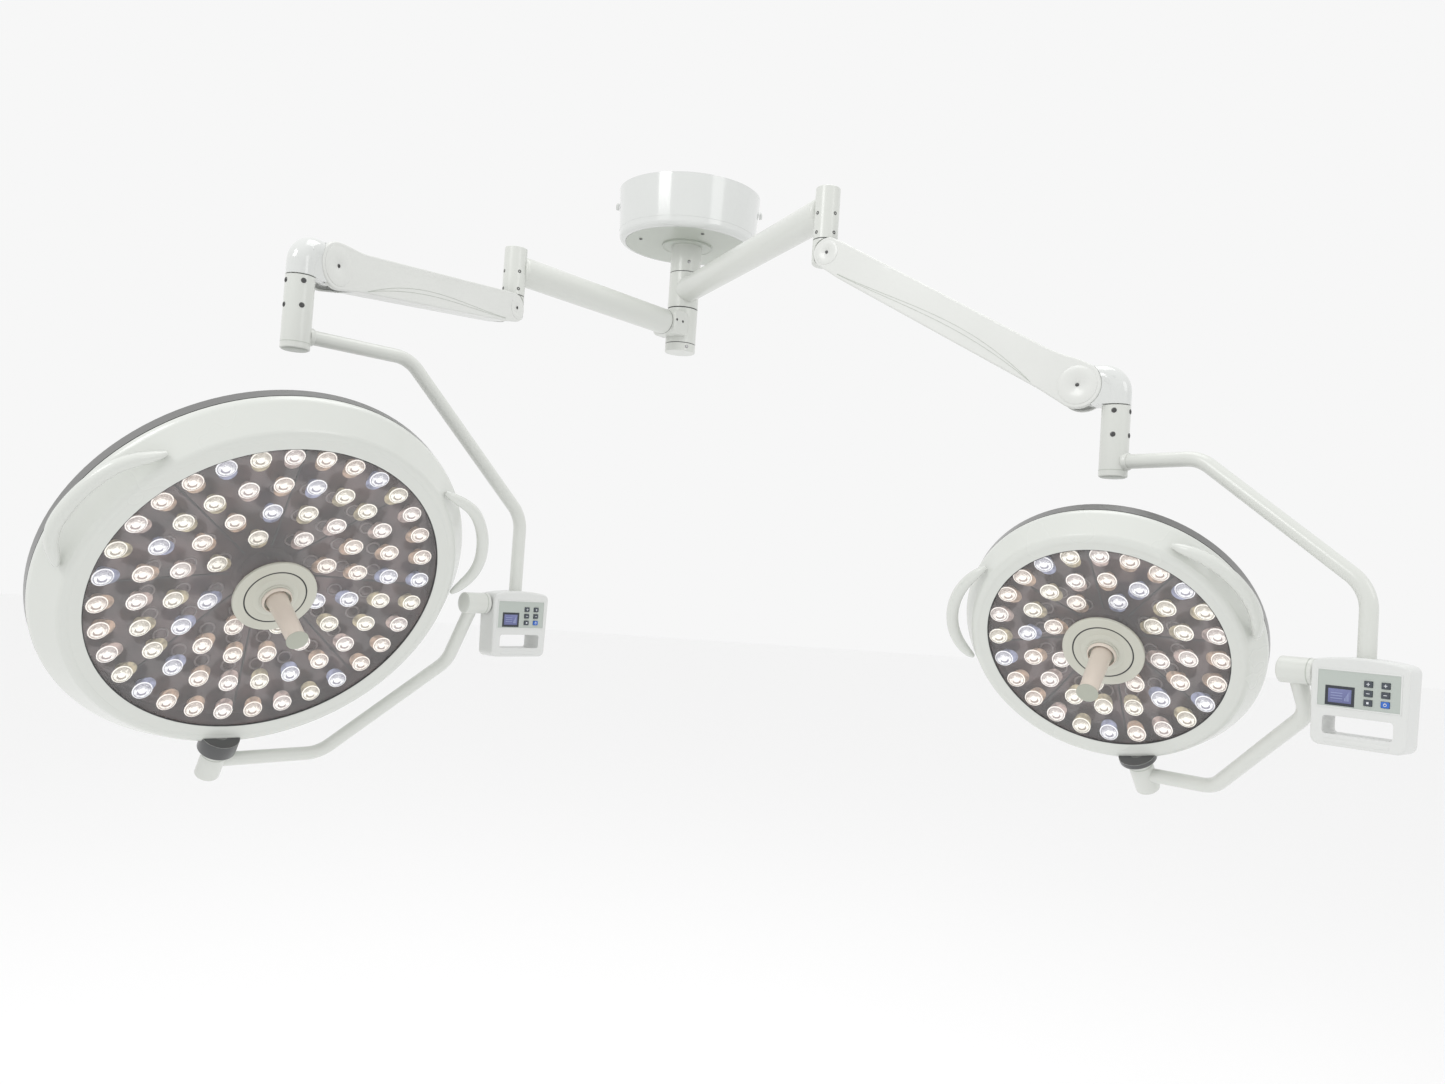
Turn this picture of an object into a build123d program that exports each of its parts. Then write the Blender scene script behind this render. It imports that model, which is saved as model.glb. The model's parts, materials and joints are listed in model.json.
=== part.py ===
"""Ceiling-mounted twin-dome surgical light, one STEP file per piece.

Units are millimetres. +Z is up, the origin is on the ceiling face of the anchor plate,
on the spindle axis, and the whole light hangs below it. Each lamp is built by the same
functions from its own set of sizes: a spindle arm, a sprung arm, a two-tube yoke that
turns about the middle of the dome, a control box, and the dome itself.
"""
from build123d import *
from math import atan2, cos, degrees, radians, sin
import os

# ---------------------------------------------------------------- fits and gaps
RUNNING = 0.05          # radial clearance of a shaft in its bearing
SEAM = 2.0              # height of the shadow gap at a turning joint
FACE_GAP = 0.4          # gap between faces that slide past each other
PLAY = 0.2              # radial play of a bolt in its hole

# ---------------------------------------------------------------- ceiling mounting
PLATE_R = 130.0
PLATE_T = 12.0
ANCHOR_PCD = 220.0
ANCHOR_COUNT = 6
ANCHOR_R = 6.5
CABLE_HOLE_R = 17.0
FLANGE_R = 100.0
FLANGE_T = 14.0
FLANGE_PCD = 160.0
FLANGE_BOLTS = 6
BOLT_R = 6.0
BOLT_HEAD_R = 9.5
BOLT_HEAD_T = 8.0

# ---------------------------------------------------------------- canopy
CANOPY_H = 135.0
CANOPY_R = 180.0        # at the bottom edge
CANOPY_TOP_R = 188.0
CANOPY_WALL = 3.0
CANOPY_EDGE = 13.0      # radius of the rounded lower edge
CANOPY_GAP = 2.0        # gap under the ceiling
DISC_T = 3.0
DISC_R = 163.0
TRIM_R = 66.0
TRIM_T = 4.0
DISC_SCREW_R = 128.0
SUPPLY = (60.0, 130.0, 46.0)
SUPPLY_X = 78.0

# ---------------------------------------------------------------- spindle
COLUMN_R = 25.0
HUB_R = 40.0
SLEEVE_Z = -210.0       # bottom of the fixed sleeve
UPPER_HUB_Z = -306.0    # bottom of the upper hub
LOWER_HUB_Z = -400.0    # bottom of the lower hub
SPINDLE_Z = -422.0      # bottom of the end cap
CAP_FLOOR = 8.0

# ---------------------------------------------------------------- arms
ARM_R = 32.5
ARM_WALL = 4.0
POST_R = 25.0
POST_UP = 44.0          # post top above the arm's axis
POST_DOWN = 61.0        # post bottom below the arm's axis
STEM_R = 15.0
STEM_L = 82.0           # bearing length of a stem in its post or tube
PIVOT_DROP = 93.0       # arm axis down to the rear pivot
PIVOT_OUT = 18.0        # post axis out to the rear pivot
SPRING_L = 585.0        # rear pivot to elbow pivot
TONGUE_HALF = 11.0
LUG_T = 5.0
COVER_HALF = 24.0
COVER_WALL = 3.0
REAR_R = 30.5           # cover radius at the rear pivot
ELBOW_R = 41.0          # cover radius at the elbow pivot
WAIST_UP = 32.0         # cover height above and below the pivot line
WAIST_DOWN = 34.0
PIN_R = 7.0
FRAME_R = 15.0
FRAME_WALL = 2.0
SPRING_R = 11.5
SPRING_WIRE = 4.0
ELBOW_OUT = 62.0        # elbow pivot out to the drop tube's axis
ELBOW_UP = 37.0
DROP_R = 24.0
DROP_TOP = 34.0         # seam below the elbow pivot
DROP_BOTTOM = 158.0
YOKE_DROP = 132.0       # yoke tube's axis below the elbow pivot

# ---------------------------------------------------------------- yoke and box
TUBE_R = 12.5
TUBE_WALL = 2.0
BEND_R = 65.0
AXLE_R = 9.0
BARREL_R = 20.0
BOX_W = 130.0
BOX_TOP = 27.0          # box top and bottom, from the tilt axis
BOX_BOTTOM = -101.0
BOX_FRONT = 25.0
BOX_BACK = 21.0
BOX_WALL = 3.0
BOX_CORNER = 12.0
BOX_ARCH = 7.0
GRIP_W = 92.0           # see-through grip under the panel
GRIP_TOP = -58.0
GRIP_BOTTOM = -84.0
PANEL_W = 108.0
PANEL_H = 52.0
PANEL_Z = -19.0
PANEL_T = 2.0
SCREEN_W = 36.0
SCREEN_H = 25.0
SCREEN_X = -24.0
SCREEN_Z = -29.0
SCREEN_DEEP = 0.8
KEY_W = 11.0
KEY_H = 8.5
KEY_T = 5.0
KEY_PROUD = 1.6
KEY_PLAY = 0.3
KEY_COLUMNS = (13.0, 35.0)
KEY_ROWS = (-8.5, -21.5, -34.5)
BARREL_L = 51.0
LEG_INSET = 22.0        # barrel's inner end to the lower tube's axis
HOUSING_R = 17.0
HOUSING_L = 86.0

# ---------------------------------------------------------------- dome
RIM_WALL = 3.0
DOME_GAP = 2.0
BACK_SKIRT = 24.0
BACK_DEEP = 114.0
BACK_WALL = 3.0
LENS_T = 3.0
LENS_HOLE_R = 50.0
DISH_SLOPE = 0.14
DISH_T = 3.0
LED_H = 19.0
LED_FRONT_R = 16.0
LED_BACK_R = 8.5
FLANGE_DISC_R = 68.0
FLANGE_DISC_T = 5.0
SOCKET_R = 44.0
SPIGOT_R = 9.0
SPIGOT_L = 46.0
HANDLE_R = 17.0
HANDLE_TIP_R = 15.0
HANDLE_L = 108.0
HANDLE_STAND = 12.0     # flange face to the root of the handle
JOURNAL_R = 10.0
HUB_BARREL_R = 21.0
COLLAR_R = 32.0
GRIP_R = 9.5
GRIP_TURN = 115.0       # grips stand this far round from the hub


class Lamp:
    """The sizes and rest angles of one of the two lamps."""

    def __init__(self, name, **sizes):
        self.name = name
        self.__dict__.update(sizes)


LARGE = Lamp(
    "large", arm_top=UPPER_HUB_Z - SEAM, arm_bottom=LOWER_HUB_Z + SEAM / 2, arm_l=590.0,
    arm_az=-127.2, spring_az=-110.2, spring_pitch=-7.6, yoke_az=46.7, tilt=32.8, spin=-2.2,
    reach=482.0, bend_x=211.0, bend_z=263.0, gimbal=436.0,
    low_x=198.5, low_z=140.0, hub_drop=358.0, collar=(303.0, 331.0),
    dome_r=345.0, crest_r=306.0, lens_r=280.0, seam=48.0, grip_foot=328.0, grip_apex=362.0,
    led_z=-16.0, led_rings=((32, 260.0), (24, 204.0), (16, 150.0), (8, 99.5)),
    led_turn=4.2, grip_half=20.5,
)
SMALL = Lamp(
    "small", arm_top=SLEEVE_Z - SEAM, arm_bottom=UPPER_HUB_Z + SEAM / 2, arm_l=775.0,
    arm_az=-66.1, spring_az=-33.3, spring_pitch=-29.5, yoke_az=-50.4, tilt=35.1, spin=15.6,
    reach=411.0, bend_x=152.0, bend_z=197.0, gimbal=322.5,
    low_x=127.0, low_z=81.0, hub_drop=266.0, collar=(222.0, 231.0),
    dome_r=250.0, crest_r=221.0, lens_r=200.0, seam=42.0, grip_foot=243.0, grip_apex=262.0,
    led_z=-9.0, led_rings=((24, 186.0), (16, 135.5), (8, 93.0)),
    led_turn=-5.1, grip_half=24.5,
)


# ---------------------------------------------------------------- helpers
def rod(radius, low, high, x=0.0, y=0.0):
    """A cylinder along Z between two heights."""
    return Pos(x, y, (low + high) / 2) * Cylinder(radius, high - low)


def rod_x(radius, low, high, y=0.0, z=0.0):
    """A cylinder along X between two places."""
    return Pos((low + high) / 2, y, z) * Rot(0, 90, 0) * Cylinder(radius, high - low)


def rod_y(radius, low, high, x=0.0, z=0.0):
    """A cylinder along Y between two places."""
    return Pos(x, (low + high) / 2, z) * Rot(90, 0, 0) * Cylinder(radius, high - low)


def ring(outer, inner, low, high):
    return rod(outer, low, high) - rod(inner, low - 1, high + 1)


def block(x, y, z):
    """A box between the limits given for each axis."""
    middle = [(a + b) / 2 for a, b in (x, y, z)]
    return Pos(*middle) * Box(x[1] - x[0], y[1] - y[0], z[1] - z[0])


def around(count, radius, start=0.0):
    """Places evenly spaced on a circle."""
    turns = (radians(start + 360 * i / count) for i in range(count))
    return [(radius * cos(t), radius * sin(t)) for t in turns]


def polar(radius, angle):
    return radius * cos(radians(angle)), radius * sin(radians(angle))


def turned(points):
    """A solid of revolution about Z from (radius, height) points."""
    outline = make_face(Polyline(*[(r, 0, z) for r, z in points], close=True))
    return revolve(outline, Axis.Z)


def bent_tube(points, radius, bend):
    """A solid tube in the XZ plane through the points, with round bends."""
    path = FilletPolyline(*[(x, 0, z) for x, z in points], radius=bend)
    return sweep(Plane(path @ 0, z_dir=path % 0) * Circle(radius), path=path)


def hollow_tube(points, radius, wall, bend):
    return bent_tube(points, radius, bend) - bent_tube(points, radius - wall, bend)


# ---------------------------------------------------------------- places at rest
def arm_place(lamp):
    return Pos(0, 0, (lamp.arm_top + lamp.arm_bottom) / 2) * Rot(0, 0, lamp.arm_az)


def post_place(lamp):
    """Level frame on the post's axis, X along the sprung arm."""
    return arm_place(lamp) * Pos(lamp.arm_l, 0, 0) * Rot(0, 0, lamp.spring_az - lamp.arm_az)


def spring_place(lamp):
    return post_place(lamp) * Pos(PIVOT_OUT, 0, -PIVOT_DROP) * Rot(0, -lamp.spring_pitch, 0)


def elbow_place(lamp):
    """Level frame on the elbow pivot, X along the sprung arm."""
    return spring_place(lamp) * Pos(SPRING_L, 0, 0) * Rot(0, lamp.spring_pitch, 0)


def yoke_place(lamp):
    """Frame on the drop tube's axis at the yoke tube, X along the tilt axis."""
    turn = lamp.yoke_az - lamp.spring_az
    return elbow_place(lamp) * Pos(ELBOW_OUT, 0, -YOKE_DROP) * Rot(0, 0, turn)


def box_place(lamp):
    """Frame on the tilt axis at the control box."""
    return yoke_place(lamp) * Pos(lamp.reach, 0, -lamp.gimbal)


def tilt_place(lamp):
    """Frame in the middle of the dome, X along the tilt axis, Z up the hub axis."""
    return yoke_place(lamp) * Pos(0, 0, -lamp.gimbal) * Rot(lamp.tilt, 0, 0)


def dome_place(lamp):
    """Frame in the middle of the dome: X to the hub, Z out of the front lens."""
    facing = Plane(origin=(0, 0, 0), x_dir=(0, 0, -1), z_dir=(0, -1, 0))
    return tilt_place(lamp) * Rot(0, 0, lamp.spin) * facing.location


# ---------------------------------------------------------------- ceiling pieces
def ceiling_plate():
    plate = rod(PLATE_R, -PLATE_T, 0) - rod(CABLE_HOLE_R, -PLATE_T - 1, 1)
    for x, y in around(ANCHOR_COUNT, ANCHOR_PCD / 2):
        plate -= rod(ANCHOR_R, -PLATE_T - 1, 1, x, y)
    for x, y in around(FLANGE_BOLTS, FLANGE_PCD / 2, 30):
        plate -= rod(BOLT_R + PLAY, -PLATE_T - 1, 1, x, y)
    return plate


def flange_bolts():
    top = -1.0
    low = -PLATE_T - FLANGE_T
    bolts = []
    for x, y in around(FLANGE_BOLTS, FLANGE_PCD / 2, 30):
        head = extrude(Pos(x, y, low) * RegularPolygon(BOLT_HEAD_R, 6), -BOLT_HEAD_T)
        bolts.append(rod(BOLT_R, low, top, x, y) + head)
    return Compound(bolts)


def spindle_column():
    low = -PLATE_T - FLANGE_T
    column = rod(FLANGE_R, low, -PLATE_T) + rod(COLUMN_R, SPINDLE_Z + CAP_FLOOR, low)
    column += rod(HUB_R, SLEEVE_Z, -CANOPY_H + DISC_T + 20)
    column -= rod(CABLE_HOLE_R, SPINDLE_Z, 0)
    for x, y in around(FLANGE_BOLTS, FLANGE_PCD / 2, 30):
        column -= rod(BOLT_R + PLAY, low - 1, 0, x, y)
    return column


def end_cap():
    top = LOWER_HUB_Z - SEAM / 2
    cap = rod(HUB_R, SPINDLE_Z, top)
    cap = fillet(cap.edges().group_by(Axis.Z)[0], 2)
    return cap - rod(COLUMN_R, SPINDLE_Z + CAP_FLOOR, top + 1)


def canopy():
    top = -CANOPY_GAP
    lip = DISC_R + 1
    outer = turned([(0, top), (CANOPY_TOP_R, top), (CANOPY_R, -CANOPY_H), (0, -CANOPY_H)])
    outer = fillet(outer.edges().group_by(Axis.Z)[0], CANOPY_EDGE)
    inner = turned([
        (0, top + 1), (CANOPY_TOP_R - CANOPY_WALL, top + 1),
        (CANOPY_R - CANOPY_WALL, -CANOPY_H + CANOPY_EDGE), (lip, -CANOPY_H + 2 * DISC_T),
        (lip, -CANOPY_H - 1), (0, -CANOPY_H - 1),
    ])
    return outer - inner


def canopy_disc():
    low = -CANOPY_H
    disc = ring(DISC_R, HUB_R + PLAY, low, low + DISC_T)
    disc += ring(TRIM_R, HUB_R + PLAY, low - TRIM_T, low)
    for x, y in around(4, DISC_SCREW_R, 20):
        disc -= rod(2.5, low - 1, low + DISC_T + 1, x, y)
    return disc


def canopy_screws():
    """Four disc screws, and two knurled screws high on the canopy's sides."""
    low = -CANOPY_H
    screws = []
    for x, y in around(4, DISC_SCREW_R, 20):
        screws.append(rod(4, low - 1.5, low, x, y) + rod(2.3, low, low + 12, x, y))
    side_z = -40.0
    for turn in (0, 180):
        screw = rod_x(9, CANOPY_TOP_R - 0.5, CANOPY_TOP_R + 7, z=side_z)
        screws.append(Rot(0, 0, turn) * screw)
    return Compound(screws)


def power_supply():
    x, y, z = SUPPLY
    top = -PLATE_T - FLANGE_T - BOLT_HEAD_T - 1
    pair = []
    for side in (-1, 1):
        case = Pos(side * SUPPLY_X, 0, top - z / 2) * Box(x, y, z)
        hanger = rod(5, top, -PLATE_T - FLANGE_T, side * (SUPPLY_X - 20), 0)
        pair.append(case + hanger)
    return Compound(pair)


# ---------------------------------------------------------------- arm pieces
def spindle_arm(lamp):
    """Welded arm: hub on the column, horizontal tube, and the post at its far end."""
    half = (lamp.arm_top - lamp.arm_bottom) / 2
    post_x = lamp.arm_l
    tube_end = post_x - POST_R * 0.4
    tube = rod_x(ARM_R, 0, tube_end)
    tube = fillet(tube.edges().group_by(Axis.X)[-1], 9)
    arm = rod(HUB_R, -half, half) + tube + rod(POST_R, -POST_DOWN, POST_UP, post_x)
    arm -= rod_x(ARM_R - ARM_WALL, HUB_R - 2, post_x - POST_R - 6)
    arm -= rod(COLUMN_R + RUNNING, -half - ARM_R, half + ARM_R)
    arm -= rod(STEM_R + RUNNING, -POST_DOWN - 1, -POST_DOWN + STEM_L + 1, post_x)
    return arm_place(lamp) * arm


def pivot_block(lamp):
    """Knuckle that turns in the post and carries the sprung arm's rear pivot."""
    top = -POST_DOWN - SEAM
    stem = rod(STEM_R, top, -POST_DOWN + STEM_L)
    shoulder = rod(POST_R, -PIVOT_DROP - REAR_R + 10, top)
    shoulder = fillet(shoulder.edges().group_by(Axis.Z)[0], 8)
    reach = REAR_R + FACE_GAP
    sweep_y = (TONGUE_HALF, POST_R + 1)
    for y in (sweep_y, (-sweep_y[1], -sweep_y[0])):
        shoulder -= rod_y(reach, *y, x=PIVOT_OUT, z=-PIVOT_DROP)
    tongue = rod_y(REAR_R - 6, -TONGUE_HALF, TONGUE_HALF, PIVOT_OUT, -PIVOT_DROP)
    block_solid = stem + shoulder + tongue
    block_solid -= rod_y(PIN_R + RUNNING, -POST_R - 1, POST_R + 1, PIVOT_OUT, -PIVOT_DROP)
    return post_place(lamp) * block_solid


def arm_frame(lamp):
    """Steel tube inside the sprung arm, with a pair of lugs and a pin at each end."""
    start = REAR_R + 4
    end = SPRING_L - ELBOW_R - 4
    frame = rod_x(FRAME_R, start, end)
    inside = TONGUE_HALF + FACE_GAP
    for side in (-1, 1):
        y = sorted((side * inside, side * (inside + LUG_T)))
        for x, near in ((0, start + 12), (SPRING_L, end - 12)):
            frame += rod_y(15, *y, x=x)
            frame += block(sorted((x, near)), y, (-11, 11))
    for low, high in ((start - 8, start), (end, end + 8)):
        frame += block((low, high), (-inside - LUG_T, inside + LUG_T), (-11, 11))
    frame -= rod_x(FRAME_R - FRAME_WALL, start + 4, end - 4)
    half = inside + LUG_T
    for x in (0, SPRING_L):
        frame += rod_y(PIN_R, -half, half, x)
    return spring_place(lamp) * frame


def balance_spring(lamp):
    low = REAR_R + 30
    high = SPRING_L * 0.62
    coil = rod_x(SPRING_R, low, high) - rod_x(SPRING_R - SPRING_WIRE, low - 1, high + 1)
    return spring_place(lamp) * coil


def cover_outline(inset):
    """Side view of the sprung arm's covers, drawn in by the inset."""
    rear = REAR_R - inset
    front = ELBOW_R - inset
    up = WAIST_UP - inset
    down = WAIST_DOWN - inset
    flare = 62.0
    rise = SPRING_L - flare
    with BuildSketch(Plane.XZ) as sketch:
        with Locations((0, 0)):
            Circle(rear)
        with Locations((SPRING_L, 0)):
            Circle(front)
        with BuildLine():
            Polyline((0, rear), (rear * 0.8, up), (rise - 20, up))
            top = Spline(
                (rise - 20, up), (SPRING_L, front), tangents=((1, 0), (1, 0)),
            )
            Polyline(top @ 1, (SPRING_L, -front), (SPRING_L - flare, -down - 3),
                     (rear * 1.5, -down), (0, -rear), (0, rear))
        make_face()
    return sketch.sketch


def arm_cover(lamp, side):
    """One half of the sprung arm's plastic covers."""
    inside = TONGUE_HALF + FACE_GAP + LUG_T + FACE_GAP
    shell = extrude(cover_outline(0), COVER_HALF)
    shell = fillet(shell.edges().group_by(Axis.Y)[0], 3)
    shell -= extrude(cover_outline(COVER_WALL), COVER_HALF - COVER_WALL)
    rear_cut = REAR_R + 6
    elbow_cut = SPRING_L - ELBOW_R - 3
    wide = ELBOW_R + 5
    for x in ((-wide, rear_cut), (elbow_cut, SPRING_L + wide)):
        shell -= block(x, (-inside, 1), (-wide, wide))
    shell -= block((rear_cut - 1, elbow_cut + 1), (-FACE_GAP / 2, 1), (-wide, wide))
    if side > 0:
        shell = mirror(shell, Plane.XZ)
    return spring_place(lamp) * shell


def elbow(lamp):
    """Casting from the elbow pivot round to the stem that the drop tube turns on."""
    out = ELBOW_OUT
    level = ELBOW_UP - DROP_R
    route = [(12, level), (out, level), (out, -DROP_TOP)]
    body = bent_tube(route, DROP_R, DROP_R + 1)
    fill = DROP_R - 1
    body += block((16, out), (-fill, fill), (-DROP_TOP, level))
    reach = ELBOW_R + FACE_GAP
    for y in ((TONGUE_HALF, DROP_R + 1), (-DROP_R - 1, -TONGUE_HALF)):
        body -= rod_y(reach, *y)
        body -= block((0, 25), y, (28, ELBOW_UP + 1))
    tongue = rod_y(ELBOW_R - 8, -TONGUE_HALF, TONGUE_HALF)
    body += tongue
    body += rod(STEM_R, -DROP_TOP - STEM_L, -DROP_TOP, out)
    body -= rod_y(PIN_R + RUNNING, -DROP_R - 1, DROP_R + 1)
    return elbow_place(lamp) * body


def drop_tube(lamp):
    """Vertical tube that turns on the elbow's stem and carries the yoke."""
    low = YOKE_DROP - DROP_BOTTOM
    top = YOKE_DROP - DROP_TOP - SEAM
    tube = rod(DROP_R, low, top)
    tube = fillet(tube.edges().group_by(Axis.Z)[0], 2)
    tube -= rod(STEM_R + RUNNING, YOKE_DROP - DROP_TOP - STEM_L - SEAM, top + 1)
    tube -= rod_x(TUBE_R, 8, DROP_R + 1)
    return yoke_place(lamp) * tube


# ---------------------------------------------------------------- yoke pieces
def upper_yoke(lamp):
    """Bent tube from the drop tube to the tilt bearing inside the control box."""
    route = [(8, 0), (lamp.bend_x, 0), (lamp.reach, -lamp.bend_z),
             (lamp.reach, -lamp.gimbal + HOUSING_R - 3)]
    tube = hollow_tube(route, TUBE_R, TUBE_WALL, BEND_R)
    x = lamp.reach
    z = -lamp.gimbal
    tube += rod_x(HOUSING_R, x - HOUSING_L / 2, x + HOUSING_L / 2, z=z)
    tube -= rod_x(AXLE_R + RUNNING, x - HOUSING_L / 2 - 1, x + HOUSING_L / 2 - 6, z=z)
    return yoke_place(lamp) * tube


def control_box(lamp):
    """Plastic box round the tilt bearing, with a grip below it."""
    half = BOX_W / 2
    with BuildSketch(Plane.XZ) as outline:
        with BuildLine():
            ThreePointArc((-half, BOX_TOP - BOX_ARCH), (0, BOX_TOP), (half, BOX_TOP - BOX_ARCH))
            Polyline((half, BOX_TOP - BOX_ARCH), (half - 3, BOX_BOTTOM),
                     (-half + 3, BOX_BOTTOM), (-half, BOX_TOP - BOX_ARCH))
        make_face()
        fillet(outline.vertices(), BOX_CORNER)
    body = Pos(0, BOX_BACK, 0) * extrude(outline.sketch, BOX_BACK + BOX_FRONT)
    ends = body.edges().group_by(Axis.Y)
    body = fillet(ends[0] + ends[-1], 4)
    depth = (-BOX_FRONT - 1, BOX_BACK + 1)
    window = block((-GRIP_W / 2, GRIP_W / 2), depth, (GRIP_BOTTOM, GRIP_TOP))
    window = fillet(window.edges().filter_by(Axis.Y), 5)
    body -= window
    inner = half - BOX_WALL - 2
    body -= block((-inner, inner), (-BOX_FRONT + PANEL_T + BOX_WALL, BOX_BACK - BOX_WALL),
                  (GRIP_TOP + BOX_WALL, BOX_TOP - BOX_ARCH - BOX_WALL))
    body -= block((-PANEL_W / 2, PANEL_W / 2), (-BOX_FRONT - 1, -BOX_FRONT + PANEL_T),
                  (PANEL_Z - PANEL_H / 2, PANEL_Z + PANEL_H / 2))
    for x in KEY_COLUMNS:
        for z in KEY_ROWS:
            body -= key_hole(x, z, (-BOX_FRONT, -BOX_FRONT + PANEL_T + BOX_WALL + 1))
    body -= rod(TUBE_R, 0, BOX_TOP + 1)
    body -= rod_x(HOUSING_R, -half - 1, 0)
    return box_place(lamp) * body


def key_hole(x, z, y):
    return block((x - KEY_W / 2 - KEY_PLAY, x + KEY_W / 2 + KEY_PLAY), y,
                 (z - KEY_H / 2 - KEY_PLAY, z + KEY_H / 2 + KEY_PLAY))


def control_panel(lamp):
    """Thin front plate with a window for the screen and holes for the keys."""
    front = -BOX_FRONT
    plate = block((-PANEL_W / 2, PANEL_W / 2), (front, front + PANEL_T),
                  (PANEL_Z - PANEL_H / 2, PANEL_Z + PANEL_H / 2))
    plate -= block((SCREEN_X - SCREEN_W / 2, SCREEN_X + SCREEN_W / 2),
                   (front - 1, front + SCREEN_DEEP),
                   (SCREEN_Z - SCREEN_H / 2, SCREEN_Z + SCREEN_H / 2))
    for x in KEY_COLUMNS:
        for z in KEY_ROWS:
            plate -= key_hole(x, z, (front - 1, front + PANEL_T + 1))
    return box_place(lamp) * plate


def key(lamp, x, z):
    front = -BOX_FRONT - KEY_PROUD
    cap = block((x - KEY_W / 2, x + KEY_W / 2), (front, front + KEY_T),
                (z - KEY_H / 2, z + KEY_H / 2))
    cap = fillet(cap.edges().filter_by(Axis.Y), 2)
    cap = fillet(cap.edges().group_by(Axis.Y)[0], 0.6)
    return box_place(lamp) * cap


def lower_yoke(lamp):
    """Barrel and axle on the tilt axis, bent tube, and the hub that the dome turns in."""
    box_side = lamp.reach - BOX_W / 2 - 1
    inner = box_side - BARREL_L
    leg = inner + LEG_INSET
    barrel = rod_x(BARREL_R, inner, box_side)
    barrel = fillet(barrel.edges(), 2)
    axle = rod_x(AXLE_R, box_side - 1, lamp.reach + HOUSING_L / 2 - 8)
    route = [(leg, -4), (leg, -lamp.low_z), (lamp.low_x, -lamp.hub_drop),
             (HUB_BARREL_R - 8, -lamp.hub_drop)]
    tube = hollow_tube(route, TUBE_R, TUBE_WALL, BEND_R * 0.8)
    near, far = lamp.collar
    hub = rod(HUB_BARREL_R, -lamp.hub_drop - 32, -far)
    hub = fillet(hub.edges().group_by(Axis.Z)[0], 2)
    hub += turned([(0, -far), (COLLAR_R - 5, -far), (HUB_BARREL_R + 1, -far - 8), (0, -far - 8)])
    hub += rod(COLLAR_R, -far, -near)
    hub -= rod(JOURNAL_R + RUNNING, -lamp.hub_drop - 24, -near + 1)
    return tilt_place(lamp) * (barrel + axle + tube + hub)


# ---------------------------------------------------------------- dome pieces
def dish_z(lamp, radius):
    """Front face of the base plate behind the light sources at a radius."""
    outer = lamp.led_rings[0][1]
    return lamp.led_z - LED_H - (outer - radius) * DISH_SLOPE


def ring_cover(lamp):
    """Ring round the front lens: inner chamfer, crest, and the sloping outer wall."""
    lens = lamp.lens_r
    crest = lamp.crest_r
    rim = lamp.dome_r
    wall = RIM_WALL
    seam = lamp.seam
    with BuildSketch(Plane.XZ) as profile:
        with BuildLine():
            Polyline((lens, 0), (lens, 2), (crest - 8, 4.5))
            ThreePointArc((crest - 8, 4.5), (crest + 1, 5.4), (crest + 8, 1))
            Polyline((crest + 8, 1), (rim - 3, -seam + 12))
            ThreePointArc((rim - 3, -seam + 12), (rim - 0.6, -seam + 7), (rim, -seam))
            Polyline((rim, -seam), (rim - wall, -seam), (rim - wall - 3, -seam + 12),
                     (crest + 5, -1), (crest - 8, 2), (lens + 5, 0), (lens, 0))
        make_face()
    cover = revolve(profile.sketch, Axis.Z)
    cover -= rod_x(COLLAR_R + FACE_GAP, lamp.collar[0] - FACE_GAP, rim + 1)
    return dome_place(lamp) * cover


def back_cover(lamp):
    """Pressed metal back, with the bracket and journal that carry the dome."""
    rim = lamp.dome_r
    top = -lamp.seam - DOME_GAP
    skirt = top - BACK_SKIRT
    wall = BACK_WALL
    outer = [(0, -BACK_DEEP), (rim * 0.34, -BACK_DEEP + 1), (rim * 0.62, -BACK_DEEP + 6),
             (rim - 34, skirt - 14), (rim - 8, skirt - 4), (rim, skirt + 6), (rim, top)]
    inner = [(rim - wall, top), (rim - wall, skirt + 7), (rim - 10, skirt - 1),
             (rim - 36, skirt - 11), (rim * 0.62, -BACK_DEEP + 6 + wall),
             (rim * 0.34, -BACK_DEEP + 1 + wall), (0, -BACK_DEEP + wall)]
    cover = turned(outer + inner)
    hub_face = lamp.collar[0] - FACE_GAP
    foot = lamp.lens_r + 5.5
    bracket = block((foot, hub_face), (-22, 22), (-BACK_DEEP, -3))
    bracket &= turned(outer + [(rim, 0), (0, 0)])
    journal = rod_x(JOURNAL_R, hub_face, lamp.hub_drop + 22)
    return dome_place(lamp) * (cover + bracket + journal)


def side_grips(lamp):
    """The pair of curved grips on the dome's edge."""
    foot_r = lamp.grip_foot
    foot_z = -5.0
    middle_r = lamp.grip_apex
    pair = []
    for side in (-1, 1):
        middle = side * GRIP_TURN
        ends = [polar(foot_r, middle + turn) for turn in (-lamp.grip_half, lamp.grip_half)]
        apex = polar(middle_r, middle)
        arc = ThreePointArc((*ends[0], foot_z), (*apex, 8), (*ends[1], foot_z))
        bar = sweep(Plane(arc @ 0, z_dir=arc % 0) * Circle(GRIP_R), path=arc)
        for end in ends:
            bar += Pos(*end, foot_z) * Sphere(GRIP_R)
        pair.append(bar)
    grips = Compound([g - dome_solid(lamp) for g in pair])
    return dome_place(lamp) * grips


def dome_solid(lamp):
    """The ring cover's outside, filled in, to trim what stands on it."""
    crest = lamp.crest_r
    rim = lamp.dome_r
    return turned([(0, 5), (crest - 8, 4.7), (crest + 1, 5.6), (crest + 8.2, 1.1),
                   (rim - 2.8, -lamp.seam + 12.2), (rim - 0.4, -lamp.seam + 7),
                   (rim + 0.2, -lamp.seam - 20), (0, -lamp.seam - 20)])


def front_lens(lamp):
    lens = ring(lamp.lens_r + 3, LENS_HOLE_R + PLAY, -LENS_T - PLAY, -PLAY)
    return dome_place(lamp) * lens


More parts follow.
